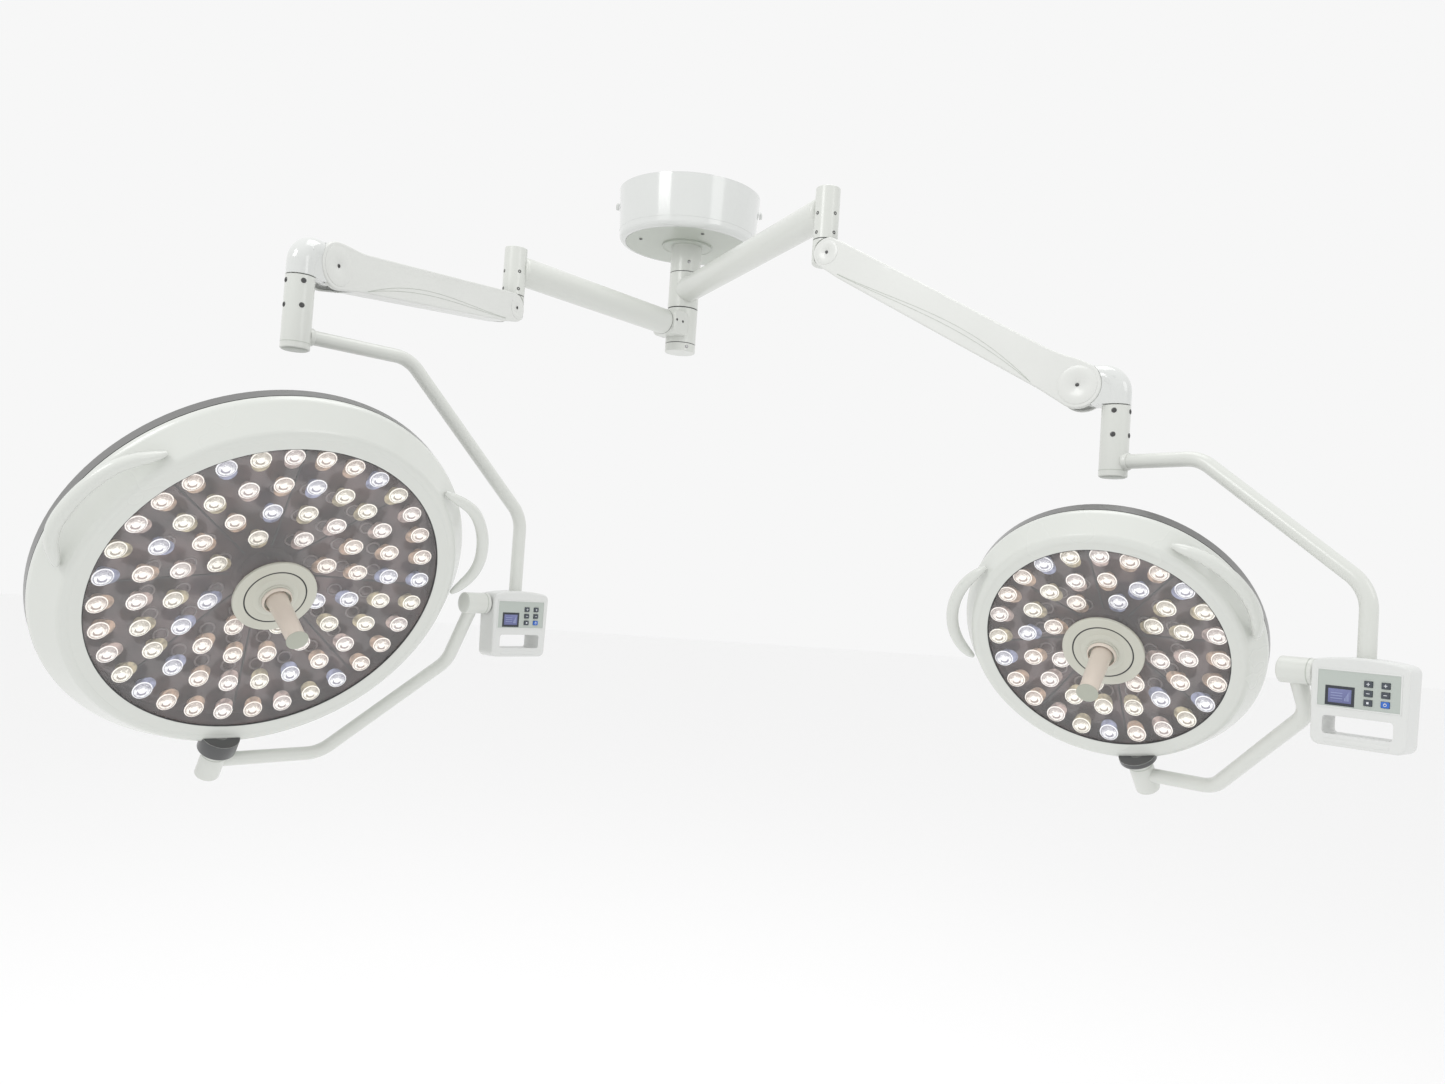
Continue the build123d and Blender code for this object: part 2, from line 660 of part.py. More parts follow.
def base_plate(lamp):
    """Dished plate that the light sources stand on, with its outer rim up to the lens."""
    rim = lamp.lens_r + 1
    flat = SOCKET_R + 8
    shift = DISH_T
    face = [(flat, dish_z(lamp, flat)), (rim, dish_z(lamp, rim))]
    plate = turned([
        (0, face[0][1] - shift), (0, face[0][1]), face[0], face[1], (rim, -LENS_T - 2 * PLAY),
        (rim + DISH_T, -LENS_T - 2 * PLAY), (rim + DISH_T, face[1][1] - shift),
        (flat, face[0][1] - shift),
    ])
    return dome_place(lamp) * plate


def led_lenses(lamp):
    """Every light source's lens: a cone from the plate to a slightly domed front."""
    slope = degrees(atan2(DISH_SLOPE, 1))
    profile = turned([(0, 0.5), (LED_BACK_R, 0.5), (LED_FRONT_R, LED_H - 3),
                      (LED_FRONT_R, LED_H - 1), (LED_FRONT_R * 0.6, LED_H + 0.6), (0, LED_H + 1)])
    lenses = []
    for count, radius in lamp.led_rings:
        step = 360 / count
        for i in range(count):
            turn = lamp.led_turn + step * (i + 0.5)
            place = Rot(0, 0, turn) * Pos(radius, 0, dish_z(lamp, radius)) * Rot(0, -slope, 0)
            lenses.append(place * profile)
    return dome_place(lamp) * Compound(lenses)


def handle_socket(lamp):
    """Beige disc in the middle of the dome, its barrel, and the spigot for the handle."""
    floor = dish_z(lamp, SOCKET_R + 8)
    disc = rod(FLANGE_DISC_R, PLAY, FLANGE_DISC_T)
    disc = fillet(disc.edges().group_by(Axis.Z)[-1], 2.5)
    disc -= ring(51, 48.5, FLANGE_DISC_T - 1.2, FLANGE_DISC_T + 1)
    boss = turned([(0, FLANGE_DISC_T), (36, FLANGE_DISC_T), (24, HANDLE_STAND - 3),
                   (0, HANDLE_STAND - 1)])
    barrel = rod(SOCKET_R, floor, PLAY)
    spigot = rod(SPIGOT_R, HANDLE_STAND - 2, HANDLE_STAND + SPIGOT_L)
    return dome_place(lamp) * (disc + boss + barrel + spigot)


def sterile_handle(lamp):
    """Removable handle that slides over the spigot."""
    low = HANDLE_STAND
    high = low + HANDLE_L
    grip = turned([(0, low), (HANDLE_R + 1, low), (HANDLE_R, low + 8), (HANDLE_TIP_R, high - 2),
                   (HANDLE_TIP_R - 2, high), (0, high)])
    grip -= rod(SPIGOT_R + RUNNING, low - 1, low + SPIGOT_L + 2)
    return dome_place(lamp) * grip


# ---------------------------------------------------------------- all the pieces
def pieces():
    made = {
        "ceiling_plate": ceiling_plate(),
        "flange_bolts": flange_bolts(),
        "spindle_column": spindle_column(),
        "spindle_end_cap": end_cap(),
        "canopy": canopy(),
        "canopy_disc": canopy_disc(),
        "canopy_screws": canopy_screws(),
        "power_supply": power_supply(),
    }
    for lamp in (LARGE, SMALL):
        per_lamp = {
            "spindle_arm": spindle_arm(lamp),
            "pivot_block": pivot_block(lamp),
            "arm_frame": arm_frame(lamp),
            "balance_spring": balance_spring(lamp),
            "arm_cover_right": arm_cover(lamp, -1),
            "arm_cover_left": arm_cover(lamp, 1),
            "elbow": elbow(lamp),
            "drop_tube": drop_tube(lamp),
            "upper_yoke": upper_yoke(lamp),
            "control_box": control_box(lamp),
            "control_panel": control_panel(lamp),
            "lower_yoke": lower_yoke(lamp),
            "ring_cover": ring_cover(lamp),
            "back_cover": back_cover(lamp),
            "side_grips": side_grips(lamp),
            "front_lens": front_lens(lamp),
            "base_plate": base_plate(lamp),
            "led_lenses": led_lenses(lamp),
            "handle_socket": handle_socket(lamp),
            "sterile_handle": sterile_handle(lamp),
        }
        number = 0
        for z in KEY_ROWS:
            for x in KEY_COLUMNS:
                number += 1
                per_lamp[f"key_{number}"] = key(lamp, x, z)
        for name, solid in per_lamp.items():
            made[f"{lamp.name}_{name}"] = solid
    return made


def main():
    os.makedirs("parts", exist_ok=True)
    for name, solid in pieces().items():
        export_step(solid, f"parts/{name}.step")


main()
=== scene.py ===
"""Looks of the ceiling-mounted twin-dome surgical light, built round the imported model.

Units are metres, in the model's own frame: +Z up, the origin on the ceiling face on the
spindle axis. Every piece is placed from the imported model's joints and boxes, and the sizes
below are the model's own.
"""
import json
from math import cos, log, pi, radians, sin

import bpy
from mathutils import Matrix, Vector


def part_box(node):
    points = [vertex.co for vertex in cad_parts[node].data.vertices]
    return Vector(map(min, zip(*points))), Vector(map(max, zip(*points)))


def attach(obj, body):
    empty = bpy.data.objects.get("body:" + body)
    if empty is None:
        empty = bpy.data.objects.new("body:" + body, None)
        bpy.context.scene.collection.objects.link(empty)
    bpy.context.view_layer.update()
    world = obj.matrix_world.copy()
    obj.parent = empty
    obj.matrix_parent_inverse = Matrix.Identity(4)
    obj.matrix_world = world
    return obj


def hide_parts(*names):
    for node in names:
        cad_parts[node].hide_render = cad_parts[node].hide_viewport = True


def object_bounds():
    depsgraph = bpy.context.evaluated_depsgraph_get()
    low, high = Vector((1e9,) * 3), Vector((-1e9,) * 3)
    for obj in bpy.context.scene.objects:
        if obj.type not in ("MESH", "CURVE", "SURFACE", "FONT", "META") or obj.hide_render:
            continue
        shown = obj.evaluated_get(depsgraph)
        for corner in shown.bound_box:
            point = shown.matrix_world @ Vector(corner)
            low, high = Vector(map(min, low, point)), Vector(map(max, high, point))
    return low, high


MM = 0.001
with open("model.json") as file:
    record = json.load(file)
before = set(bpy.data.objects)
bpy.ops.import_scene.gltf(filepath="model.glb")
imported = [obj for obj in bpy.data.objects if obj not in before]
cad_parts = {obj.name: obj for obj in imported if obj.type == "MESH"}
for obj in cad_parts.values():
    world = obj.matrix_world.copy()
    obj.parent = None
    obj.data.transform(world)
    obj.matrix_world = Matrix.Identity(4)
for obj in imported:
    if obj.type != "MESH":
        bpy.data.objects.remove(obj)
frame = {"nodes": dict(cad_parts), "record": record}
cad_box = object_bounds()
JOINTS = {j["name"]: j for j in frame["record"]["behaviour"]["joints"]}
NODES = frame["nodes"]

# ---------------------------------------------------------------- camera and light
EYE = Vector((0.1471, -2.9088, -1.0179))
EYE_PITCH = 2.0         # degrees
EYE_ROLL = 3.8
LENS_MM = 27.4
FLOOR_DROP = 1.4        # metres below the lowest piece
PALE = (0.93, 0.93, 0.93)
LIGHT_AIM = Vector((0.0, -0.8, -0.7))
LIGHTS = (("key", (-2.6, -3.4, 1.6), 1.6, 42), ("fill", (2.9, -2.8, 0.6), 1.4, 10),
          ("top", (0.4, -0.6, 2.2), 2.0, 24))     # name, place, size in metres, watts

# ---------------------------------------------------------------- sizes, millimetres
HUB_R = 40.0
GAP_R = 38.6            # dark rings of the spindle that paint the shade in its joint gaps
SPINDLE_BORE = 27.0
ARM_R = 32.5
POST_R = 25.0
POST_UP = 44.0
POST_DOWN = 61.0
JOINT_GAP = 2.0         # height of the dark gap between two turning tubes
GAP_BORE = 16.0         # inside of a gap ring that hides in a tube
DROP_R = 24.0
DROP_TOP = 98.0         # drop tube's ends, from the yoke tube's axis
DROP_LOW = -26.0
COVER_HALF = 24.0       # half the sprung arm's width over its covers
REAR_R = 30.5           # its rear end, and its end at the elbow
ELBOW_R = 41.0
SPRING_L = 585.0        # between its two pivots
ARCH_STEPS = 40
BOX_FRONT = -25.0       # control box, from the tilt axis
BOX_BACK = 21.0
PANEL_W = 108.0
PANEL_H = 52.0
PANEL_Z = -19.0
SCREEN_W = 36.0
SCREEN_H = 25.0
SCREEN_X = -24.0
SCREEN_Z = -29.0
KEY_PROUD = 1.6
KEY_COLUMNS = (13.0, 35.0)
KEY_ROWS = (-8.5, -21.5, -34.5)
DISH_SLOPE = 0.14       # rise of the base plate per millimetre outward
DISH_TILT = 8.0         # degrees, the slope of the base plate
SECTORS = 8             # of the base plate
LED_H = 19.0
LED_R = 16.0
CUP_TOP = 16.0          # height of the tinted cup under a lens's front
CUP_LEAN = 11.0         # how far a lens's cup leans toward the middle
CUP_FOOT_SHARE = 0.35   # how much of that its foot takes
SEAT_INWARD = 22.0      # from a light source to the ring beside it
HANDLE_ROOT = 12.0
HANDLE_L = 108.0
HANDLE_TIP_R = 19.0
SOCKET_R = 44.0
COLLAR_R = 32.0
GRIP_TURN = 115.0       # degrees from the hub to the middle of a side grip
GRIP_R = 10.2
BOX_TO_BARREL = 66.0    # from the control box's middle to the tilt barrel
BARREL_L = 51.0
HUB_REACH = 32.0        # hub's end past its tube
SLEEVE_Z = -210.0
UPPER_HUB_Z = -306.0
LOWER_HUB_Z = -400.0
SPINDLE_Z = -422.0
CANOPY_Z = -135.0
CANOPY_R = 181.2
KNOB_Z = -40.0
KNOB_OUT = 188.2
DISC_SCREW_R = 128.0
CEILING_SCREW = 4.6     # radii of the screw heads
POST_SCREW = 3.7
BRAKE_SCREW = 4.4
COVER_SCREW = 3.4
BOX_SCREW = 3.0


class Lamp:
    """One lamp's own sizes, and its frames worked out from its joints."""

    def __init__(self, name, **sizes):
        self.name = name
        self.__dict__.update(sizes)
        up = Vector((0, 0, 1))
        post = self.joint("knuckle_swing")
        pivot = self.joint("lift")
        elbow = self.joint("level")
        side = -self.axis("lift")
        out = side.cross(up)
        along = (elbow - pivot).normalized()
        tilt = self.axis("tilt")
        hub = self.axis("dome_turn")
        middle = self.joint("tilt")
        face = self.axis("handle_pull")
        start = self.joint("arm_swing")
        first = (post - start).normalized()
        self.arm_l = (post - start).length / MM
        self.arm = axes(start, first, up)
        self.post = axes(post, out, up)
        self.sprung = axes(pivot, along, along.cross(side))
        self.drop = axes(self.joint("yoke_turn"), out, up)
        self.yoke = axes(self.joint("yoke_turn"), tilt, up)
        low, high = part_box(f"{name}_control_box")
        self.reach = ((Vector(low) + Vector(high)) / 2 - middle).dot(tilt) / MM
        self.box = axes(middle + tilt * self.reach * MM, tilt, up)
        self.cradle = axes(middle, tilt, hub)
        self.dome = axes(middle, -hub, face)

    def joint(self, kind):
        return Vector(JOINTS[f"{self.name}_{kind}"]["pos_m"])

    def axis(self, kind):
        return Vector(JOINTS[f"{self.name}_{kind}"]["axis"])

    def body(self, kind):
        return f"{self.name}_{kind}"

    def dish(self, radius):
        """Height of the base plate's face at a radius."""
        outer = self.led_rings[0][1]
        return self.led_z - LED_H - (outer - radius) * DISH_SLOPE


def axes(origin, x, z):
    """A frame at a place from its X and Z directions."""
    x = x.normalized()
    z = (z - x * z.dot(x)).normalized()
    y = z.cross(x)
    turn = Matrix((x, y, z)).transposed().to_4x4()
    return Matrix.Translation(origin) @ turn


# ---------------------------------------------------------------- shader maths
class Value:
    """A shader number that can be used in sums and products."""

    def __init__(self, finish, socket):
        self.finish = finish
        self.socket = socket

    def maths(self, operation, *others):
        sockets = dict(enumerate((self, *others)))
        return self.finish.node("ShaderNodeMath", {"operation": operation}, sockets)

    def __add__(self, other):
        return self.maths("ADD", other)

    def __sub__(self, other):
        return self.maths("SUBTRACT", other)

    def __mul__(self, other):
        return self.maths("MULTIPLY", other)

    def __rsub__(self, other):
        sockets = {0: other, 1: self}
        return self.finish.node("ShaderNodeMath", {"operation": "SUBTRACT"}, sockets)

    def __gt__(self, other):
        return self.maths("GREATER_THAN", other)

    def __lt__(self, other):
        return self.maths("LESS_THAN", other)

    __radd__ = __add__
    __rmul__ = __mul__

    def size(self):
        return self.maths("ABSOLUTE")

    def root(self):
        return self.maths("SQRT")

    def ramp(self, low, high):
        """Nought below the low value and one above the high one, smooth between."""
        settings = {"interpolation_type": "SMOOTHSTEP"}
        sockets = {"Value": self, "From Min": low, "From Max": high}
        return self.finish.node("ShaderNodeMapRange", settings, sockets)


def socket_name(word):
    """The shader's name for a socket, from a keyword."""
    return word.replace("_", " ").title().replace("Ior", "IOR")


class Finish:
    """A procedural material, built from nodes."""

    def __init__(self, name, color, roughness=0.4, metallic=0.0, **constants):
        self.material = bpy.data.materials.new(name)
        self.material.use_nodes = True
        self.tree = self.material.node_tree
        self.shader = self.tree.nodes["Principled BSDF"]
        self.put(self.shader, "Base Color", (*color, 1))
        self.put(self.shader, "Roughness", roughness)
        self.put(self.shader, "Metallic", metallic)
        self.surface(**constants)
        self.place = self.node("ShaderNodeTexCoord", pick="Object")

    def put(self, node, socket, value):
        target = node.inputs[socket]
        if isinstance(value, Value):
            self.tree.links.new(value.socket, target)
        else:
            target.default_value = value

    def node(self, kind, settings=None, sockets=None, pick=0):
        """Any node: its settings first, then the values or links of its sockets."""
        node = self.tree.nodes.new(kind)
        for name, value in (settings or {}).items():
            setattr(node, name, value)
        for name, value in (sockets or {}).items():
            self.put(node, name, value)
        return Value(self, node.outputs[pick])

    def noise(self, scale, detail=2.0, stretch=None):
        place = self.place
        if stretch:
            sockets = {"Vector": place, "Scale": stretch}
            place = self.node("ShaderNodeMapping", None, sockets)
        sockets = {"Vector": place, "Scale": scale, "Detail": detail}
        return self.node("ShaderNodeTexNoise", None, sockets)

    def blend(self, amount, low, high):
        """A colour between two colours."""
        low = (*low, 1) if isinstance(low, tuple) else low
        high = (*high, 1) if isinstance(high, tuple) else high
        sockets = {0: amount, 6: low, 7: high}
        return self.node("ShaderNodeMix", {"data_type": "RGBA"}, sockets, 2)

    def flat_place(self):
        """The piece's own flat map, as two numbers from nought to one."""
        flat = self.node("ShaderNodeUVMap", {"uv_map": "UVMap"})
        return [self.node("ShaderNodeSeparateXYZ", None, {0: flat}, axis) for axis in (0, 1)]

    def surface(self, **sockets):
        """Sets or feeds the shader's sockets."""
        for name, value in sockets.items():
            self.put(self.shader, socket_name(name), value)

    def bump(self, height, strength, distance):
        sockets = {"Height": height, "Strength": strength, "Distance": distance}
        self.put(self.shader, "Normal", self.node("ShaderNodeBump", None, sockets))
        return self


def shade(color, factor):
    return tuple(min(1.0, c * factor) for c in color)


def painted(name, color, roughness=0.3, coat=0.35, peel=0.006, mottle=0.02):
    """Stove-enamelled metal: faint orange peel, and slow changes of tone and gloss."""
    f = Finish(name, color, roughness, coat_weight=coat, coat_roughness=0.12)
    slow = f.noise(5.0, 3.0)
    fine = f.noise(160.0, 1.0)
    tone = f.blend(slow, shade(color, 1 - mottle), shade(color, 1 + mottle))
    f.surface(base_color=tone, roughness=slow * 0.12 + (roughness - 0.06))
    return f.bump(fine, peel, 0.0004).material


def moulded(name, color, roughness=0.38, grain=0.12, coat=0.0):
    """Injection-moulded plastic with a fine spark-eroded grain."""
    f = Finish(name, color, roughness, coat_weight=coat)
    slow = f.noise(9.0, 2.0)
    fine = f.noise(1600.0, 2.0)
    tone = f.blend(slow, shade(color, 0.97), shade(color, 1.03))
    f.surface(base_color=tone, roughness=fine * 0.1 + (roughness - 0.05))
    return f.bump(fine, grain, 0.0002).material


def metal(name, color, roughness=0.3, stretch=(1, 1, 30), grain=0.1):
    """Bare metal with a fine drawn grain and dull patches."""
    f = Finish(name, color, roughness, 1.0)
    lines = f.noise(90.0, 3.0, stretch)
    slow = f.noise(6.0, 3.0)
    tone = f.blend(lines, shade(color, 0.88), shade(color, 1.1))
    f.surface(base_color=tone, roughness=slow * 0.14 + lines * 0.08 + (roughness - 0.1))
    return f.bump(lines, grain, 0.0002).material


def spun_back(name):
    """Silver lacquer on the dome's back: metal flake under a soft clear coat."""
    color = (0.2, 0.2, 0.197)
    f = Finish(name, color, 0.34, 0.55, coat_weight=0.3, coat_roughness=0.2)
    flake = f.noise(2600.0, 1.0)
    slow = f.noise(4.0, 3.0)
    tone = f.blend(flake * 0.5 + slow * 0.5, shade(color, 0.8), shade(color, 1.22))
    f.surface(base_color=tone, roughness=slow * 0.12 + 0.28)
    return f.bump(flake, 0.06, 0.0002).material


def dark_mirror(name):
    """The plate behind the light sources: dark, faintly violet, and glossy."""
    color = (0.105, 0.075, 0.072)
    f = Finish(name, color, 0.2, 0.25, coat_weight=0.6, coat_roughness=0.08)
    slow = f.noise(14.0, 4.0)
    fine = f.noise(300.0, 2.0)
    tone = f.blend(slow.ramp(0.3, 0.7), (0.055, 0.038, 0.037), (0.15, 0.1, 0.098))
    f.surface(base_color=tone, roughness=slow * 0.1 + 0.12)
    return f.bump(fine, 0.04, 0.0003).material


def clear_cover(name):
    """Clear front lens: nearly invisible, with a soft gloss at glancing angles."""
    f = Finish(name, (1.0, 1.0, 1.0), 0.05, alpha=0.07, ior=1.3)
    haze = f.noise(20.0, 3.0)
    f.surface(roughness=haze * 0.06 + 0.03)
    return f.material


def lens_coordinates(f):
    """Distance from a small lens's axis, from nought to one at its rim, and its two axes."""
    across, up = [(number - 0.5) * 2.0 for number in f.flat_place()]
    return (across * across + up * up).root(), across, up


def lit_lens(name, tint):
    """A lit lens's front: a white-hot middle, a stepped rim, dark marks, and painted shade over its
    upper half.
    """
    f = Finish(name, (0.9, 0.9, 0.88), 0.1, coat_weight=0.4, emission_strength=0.7)
    radius, across, up = lens_coordinates(f)
    swirl = f.noise(210.0, 2.0)
    smile = ((radius - 0.5).size() < 0.1) * (up < -0.08) * (across.size() < 0.44)
    # painted shade: the upper part of the front darker, between the middle and the rim
    upper_painted_shade = up.ramp(-0.1, 0.3) * (radius < 0.82) * (radius > 0.3) * swirl.ramp(0.25, 0.55)
    groove = (radius - 0.84).size() < 0.05
    cheek = (radius > 0.5) * (radius < 0.84) * (swirl < 0.5)
    marks = smile * 0.85 + upper_painted_shade * 0.6 + groove * 0.6 + cheek * 0.34
    glow = f.blend(marks.ramp(0.0, 1.0), (1.0, 0.99, 0.95), (0.1, 0.08, 0.083))
    glow = f.blend(0.22, glow, tint)
    base = f.blend(0.5, glow, (0.05, 0.05, 0.05))
    f.surface(emission_color=glow, base_color=base)
    return f.material


def lens_cone(name, tint):
    """The tinted side of a lit lens."""
    f = Finish(name, tint, 0.3, coat_weight=0.2, emission_strength=0.3)
    cloud = f.noise(90.0, 2.0)
    tone = f.blend(cloud.ramp(0.3, 0.7), shade(tint, 0.2), shade(tint, 0.5))
    f.surface(base_color=tone, emission_color=tone)
    return f.material


def screen_glass(name):
    """Backlit display: blue-violet field with plain bars and a level scale."""
    f = Finish(name, (0.1, 0.1, 0.3), 0.2, coat_weight=0.3, emission_strength=0.18)
    x, y = f.flat_place()
    row = (y * 5.0).maths("FRACT")
    bars = (row > 0.35) * (row < 0.68) * (x > 0.1) * (x < 0.62) * (y > 0.12) * (y < 0.88)
    column = (x * 16.0).maths("FRACT")
    scale = (column > 0.3) * (x > 0.7) * (x < 0.92) * (y > 0.15) * ((x - 0.62) * 2.6 > y - 0.1)
    field = f.blend(y, (0.1, 0.11, 0.24), (0.14, 0.155, 0.31))
    tone = f.blend((bars + scale) * 0.5, field, (0.3, 0.34, 0.52))
    f.surface(base_color=tone, emission_color=tone)
    return f.material


WHITE = (0.64, 0.655, 0.62)
COVER_WHITE = (0.68, 0.69, 0.665)
RING_WHITE = (0.65, 0.667, 0.632)
TINTS = {"warm": (0.9, 0.62, 0.45), "cool": (0.55, 0.58, 0.85), "yellow": (0.88, 0.74, 0.48),
         "pink": (0.88, 0.66, 0.6)}


def finishes():
    """Every finish, by name."""
    made = {
        "enamel": painted("white_enamel", WHITE),
        "canopy": painted("canopy_gloss", (0.65, 0.665, 0.65), 0.14, 0.8, 0.02),
        "disc": painted("canopy_disc_grey", (0.47, 0.5, 0.45), 0.35, 0.15),
        "ring": painted("ring_gloss", RING_WHITE, 0.26, 0.45, 0.04),
        "cover": moulded("cover_plastic", COVER_WHITE, 0.3, 0.06, 0.25),
        "box": moulded("box_plastic", (0.68, 0.69, 0.675), 0.34, 0.1, 0.1),
        "film": moulded("panel_film", (0.46, 0.5, 0.465), 0.42, 0.05),
        "film_dark": moulded("panel_print", (0.03, 0.035, 0.045), 0.4, 0.05),
        "key": moulded("key_rubber", (0.055, 0.065, 0.08), 0.42, 0.15),
        "blue_key": moulded("blue_key_rubber", (0.03, 0.13, 0.5), 0.38, 0.12),
        "mark": moulded("key_marks", (0.7, 0.72, 0.75), 0.4, 0.05),
        # dark rubber for seams, joints and gaskets, also used to paint the shade in the gaps between
        # turning tubes
        "dark": moulded("dark_rubber", (0.035, 0.036, 0.038), 0.5, 0.2),
        "collar": moulded("collar_plastic", (0.075, 0.077, 0.078), 0.33, 0.1, 0.15),
        "beige": moulded("socket_plastic", (0.56, 0.56, 0.49), 0.34, 0.08, 0.2),
        "handle": moulded("handle_plastic", (0.73, 0.65, 0.57), 0.34, 0.1, 0.15),
        "tip": moulded("handle_end", (0.42, 0.435, 0.37), 0.36, 0.1),
        "steel": metal("zinc_steel", (0.52, 0.53, 0.54), 0.36),
        "screw": metal("black_oxide", (0.1, 0.1, 0.1), 0.35, (1, 1, 1)),
        "bright": metal("bright_screw", (0.42, 0.42, 0.42), 0.28, (1, 1, 1)),
        "back": spun_back("silver_lacquer"),
        "mirror": dark_mirror("dark_plate"),
        "clear": clear_cover("clear_lens"),
        "seat": moulded("seat_grey", (0.24, 0.2, 0.2), 0.3, 0.05, 0.3),
        "screen": screen_glass("display"),
    }
    for name, tint in TINTS.items():
        made["lit_" + name] = lit_lens("lens_front_" + name, tint)
        made["cone_" + name] = lens_cone("lens_side_" + name, tint)
    return made


# ---------------------------------------------------------------- modelling tools
def clear_selection():
    if bpy.context.object and bpy.context.object.mode != "OBJECT":
        bpy.ops.object.mode_set(mode="OBJECT")
    bpy.ops.object.select_all(action="DESELECT")


def edit(obj, kind="VERT"):
    """Opens a piece for editing with nothing selected."""
    clear_selection()
    bpy.context.view_layer.objects.active = obj
    obj.select_set(True)
    bpy.ops.object.mode_set(mode="EDIT")
    bpy.ops.mesh.select_mode(type=kind)
    bpy.ops.mesh.select_all(action="DESELECT")


def choose(obj, test, what="faces"):
    """Selects faces, edges or vertices of the piece being edited by a test."""
    bpy.ops.mesh.select_all(action="DESELECT")
    bpy.ops.object.mode_set(mode="OBJECT")
    kinds = {"faces": "polygons"}
    for item in getattr(obj.data, kinds.get(what, what)):
        item.select = bool(test(item))
    bpy.ops.object.mode_set(mode="EDIT")


def done():
    bpy.ops.object.mode_set(mode="OBJECT")
    return bpy.context.object


def named(name):
    obj = bpy.context.object
    obj.name = name
    obj.data.name = name
    return obj


def turned(name, outline, segments=48, close=True):
    """A piece turned about Z from a circle pushed along an outline of (radius, height)."""
    clear_selection()
    radius, height = outline[0]
    place = (0, 0, height * MM)
    bpy.ops.mesh.primitive_circle_add(vertices=segments, radius=radius * MM, location=place)
    obj = named(name)
    bpy.ops.object.transform_apply(location=True, rotation=True, scale=True)
    bpy.ops.object.mode_set(mode="EDIT")
    bpy.ops.mesh.select_mode(type="EDGE")
    bpy.ops.mesh.select_all(action="SELECT")
    if close:
        bpy.ops.mesh.edge_face_add()
        bpy.ops.mesh.select_mode(type="FACE")
        bpy.ops.mesh.select_all(action="SELECT")
    for new_radius, new_height in outline[1:]:
        rise = (0, 0, (new_height - height) * MM)
        if close:
            bpy.ops.mesh.extrude_region_move(TRANSFORM_OT_translate={"value": rise})
        else:
            bpy.ops.mesh.extrude_edges_move(TRANSFORM_OT_translate={"value": rise})
        grow = new_radius / radius
        middle = (0, 0, new_height * MM)
        bpy.ops.transform.resize(value=(grow, grow, 1), center_override=middle)
        radius, height = new_radius, new_height
    bpy.ops.mesh.select_all(action="SELECT")
    if not close:
        bpy.ops.mesh.remove_doubles(threshold=1e-6)
    bpy.ops.mesh.normals_make_consistent(inside=False)
    return done()


def ring_piece(name, outline, segments=96):
    """A closed ring turned about Z: its outline comes back to its first point."""
    return turned(name, list(outline) + [outline[0]], segments, close=False)


def gap_shade_ring(name, inner, outer, low, high, segments=64):
    """Dark ring that paints the shade in the gap between two turning tubes."""
    return ring_piece(name, [(inner, low), (outer, low), (outer, high), (inner, high)], segments)


def slab(name, x, y, z, radius=0.0, steps=3):
    """A block between the limits given for each axis, with rounded edges."""
    clear_selection()
    middle = [(a + b) / 2 * MM for a, b in (x, y, z)]
    size = [(b - a) * MM for a, b in (x, y, z)]
    bpy.ops.mesh.primitive_cube_add(size=1, location=middle)
    obj = named(name)
    obj.scale = size
    bpy.ops.object.transform_apply(location=True, rotation=True, scale=True)
    if radius:
        rounded(obj, radius, steps)
    return obj


def rounded(obj, radius, steps=2, angle=30):
    """Rounds a piece's edges with an applied bevel."""
    bpy.context.view_layer.objects.active = obj
    bevel = obj.modifiers.new("round", "BEVEL")
    bevel.width = radius * MM
    bevel.segments = steps
    bevel.limit_method = "ANGLE"
    bevel.angle_limit = radians(angle)
    bpy.ops.object.modifier_apply(modifier=bevel.name)
    return obj


def smooth(obj, angle=35):
    clear_selection()
    obj.select_set(True)
    bpy.context.view_layer.objects.active = obj
    bpy.ops.object.shade_smooth_by_angle(angle=radians(angle))
    return obj


def set_in(obj, place):
    """Puts a piece in its place and leaves the place in its mesh."""
    clear_selection()
    obj.matrix_world = place @ obj.matrix_world
    obj.select_set(True)
    bpy.context.view_layer.objects.active = obj
    bpy.ops.object.transform_apply(location=True, rotation=True, scale=True)
    return obj


def copy_of(obj, name):
    """Another of the same piece, with a mesh of its own."""
    twin = obj.copy()
    twin.data = obj.data.copy()
    twin.name = name
    twin.data.name = name
    bpy.context.collection.objects.link(twin)
    return twin


def tube_along(name, kind, points, thick, roundness):
    """A tube along points of (place in millimetres, share of its thickness)."""
    curve = bpy.data.curves.new(name, "CURVE")
    curve.dimensions = "3D"
    spline = curve.splines.new(kind)
    spline.points.add(len(points) - 1)
    for point, (place, share) in zip(spline.points, points):
        point.co = (*(Vector(place) * MM), 1)
        point.radius = share
    spline.order_u = 4
    spline.use_endpoint_u = True
    spline.resolution_u = 10
    curve.bevel_depth = thick * MM
    curve.bevel_resolution = roundness
    curve.use_fill_caps = kind == "NURBS"
    obj = bpy.data.objects.new(name, curve)
    bpy.context.collection.objects.link(obj)
    clear_selection()
    obj.select_set(True)
    bpy.context.view_layer.objects.active = obj
    bpy.ops.object.convert(target="MESH")
    return named(name)


def joined(name, parts):
    """Several pieces made one."""
    clear_selection()
    for part in parts:
        part.select_set(True)
    bpy.context.view_layer.objects.active = parts[0]
    if len(parts) > 1:
        bpy.ops.object.join()
    return named(name)


def cut(obj, cutter):
    """Takes the cutter out of a piece."""
    bpy.context.view_layer.objects.active = obj
    hole = obj.modifiers.new("cut", "BOOLEAN")
    hole.operation = "DIFFERENCE"
    hole.solver = "EXACT"
    hole.object = cutter
    bpy.ops.object.modifier_apply(modifier=hole.name)
    bpy.data.objects.remove(cutter)
    return obj


def finish_piece(obj, material, body, angle=35):
    """Smooths a piece, paints it, and ties it to its body."""
    smooth(obj, angle)
    if not obj.data.materials:
        obj.data.materials.append(material)
    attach(obj, body)
    return obj


def shift(x=0.0, y=0.0, z=0.0):
    return Matrix.Translation((x * MM, y * MM, z * MM))


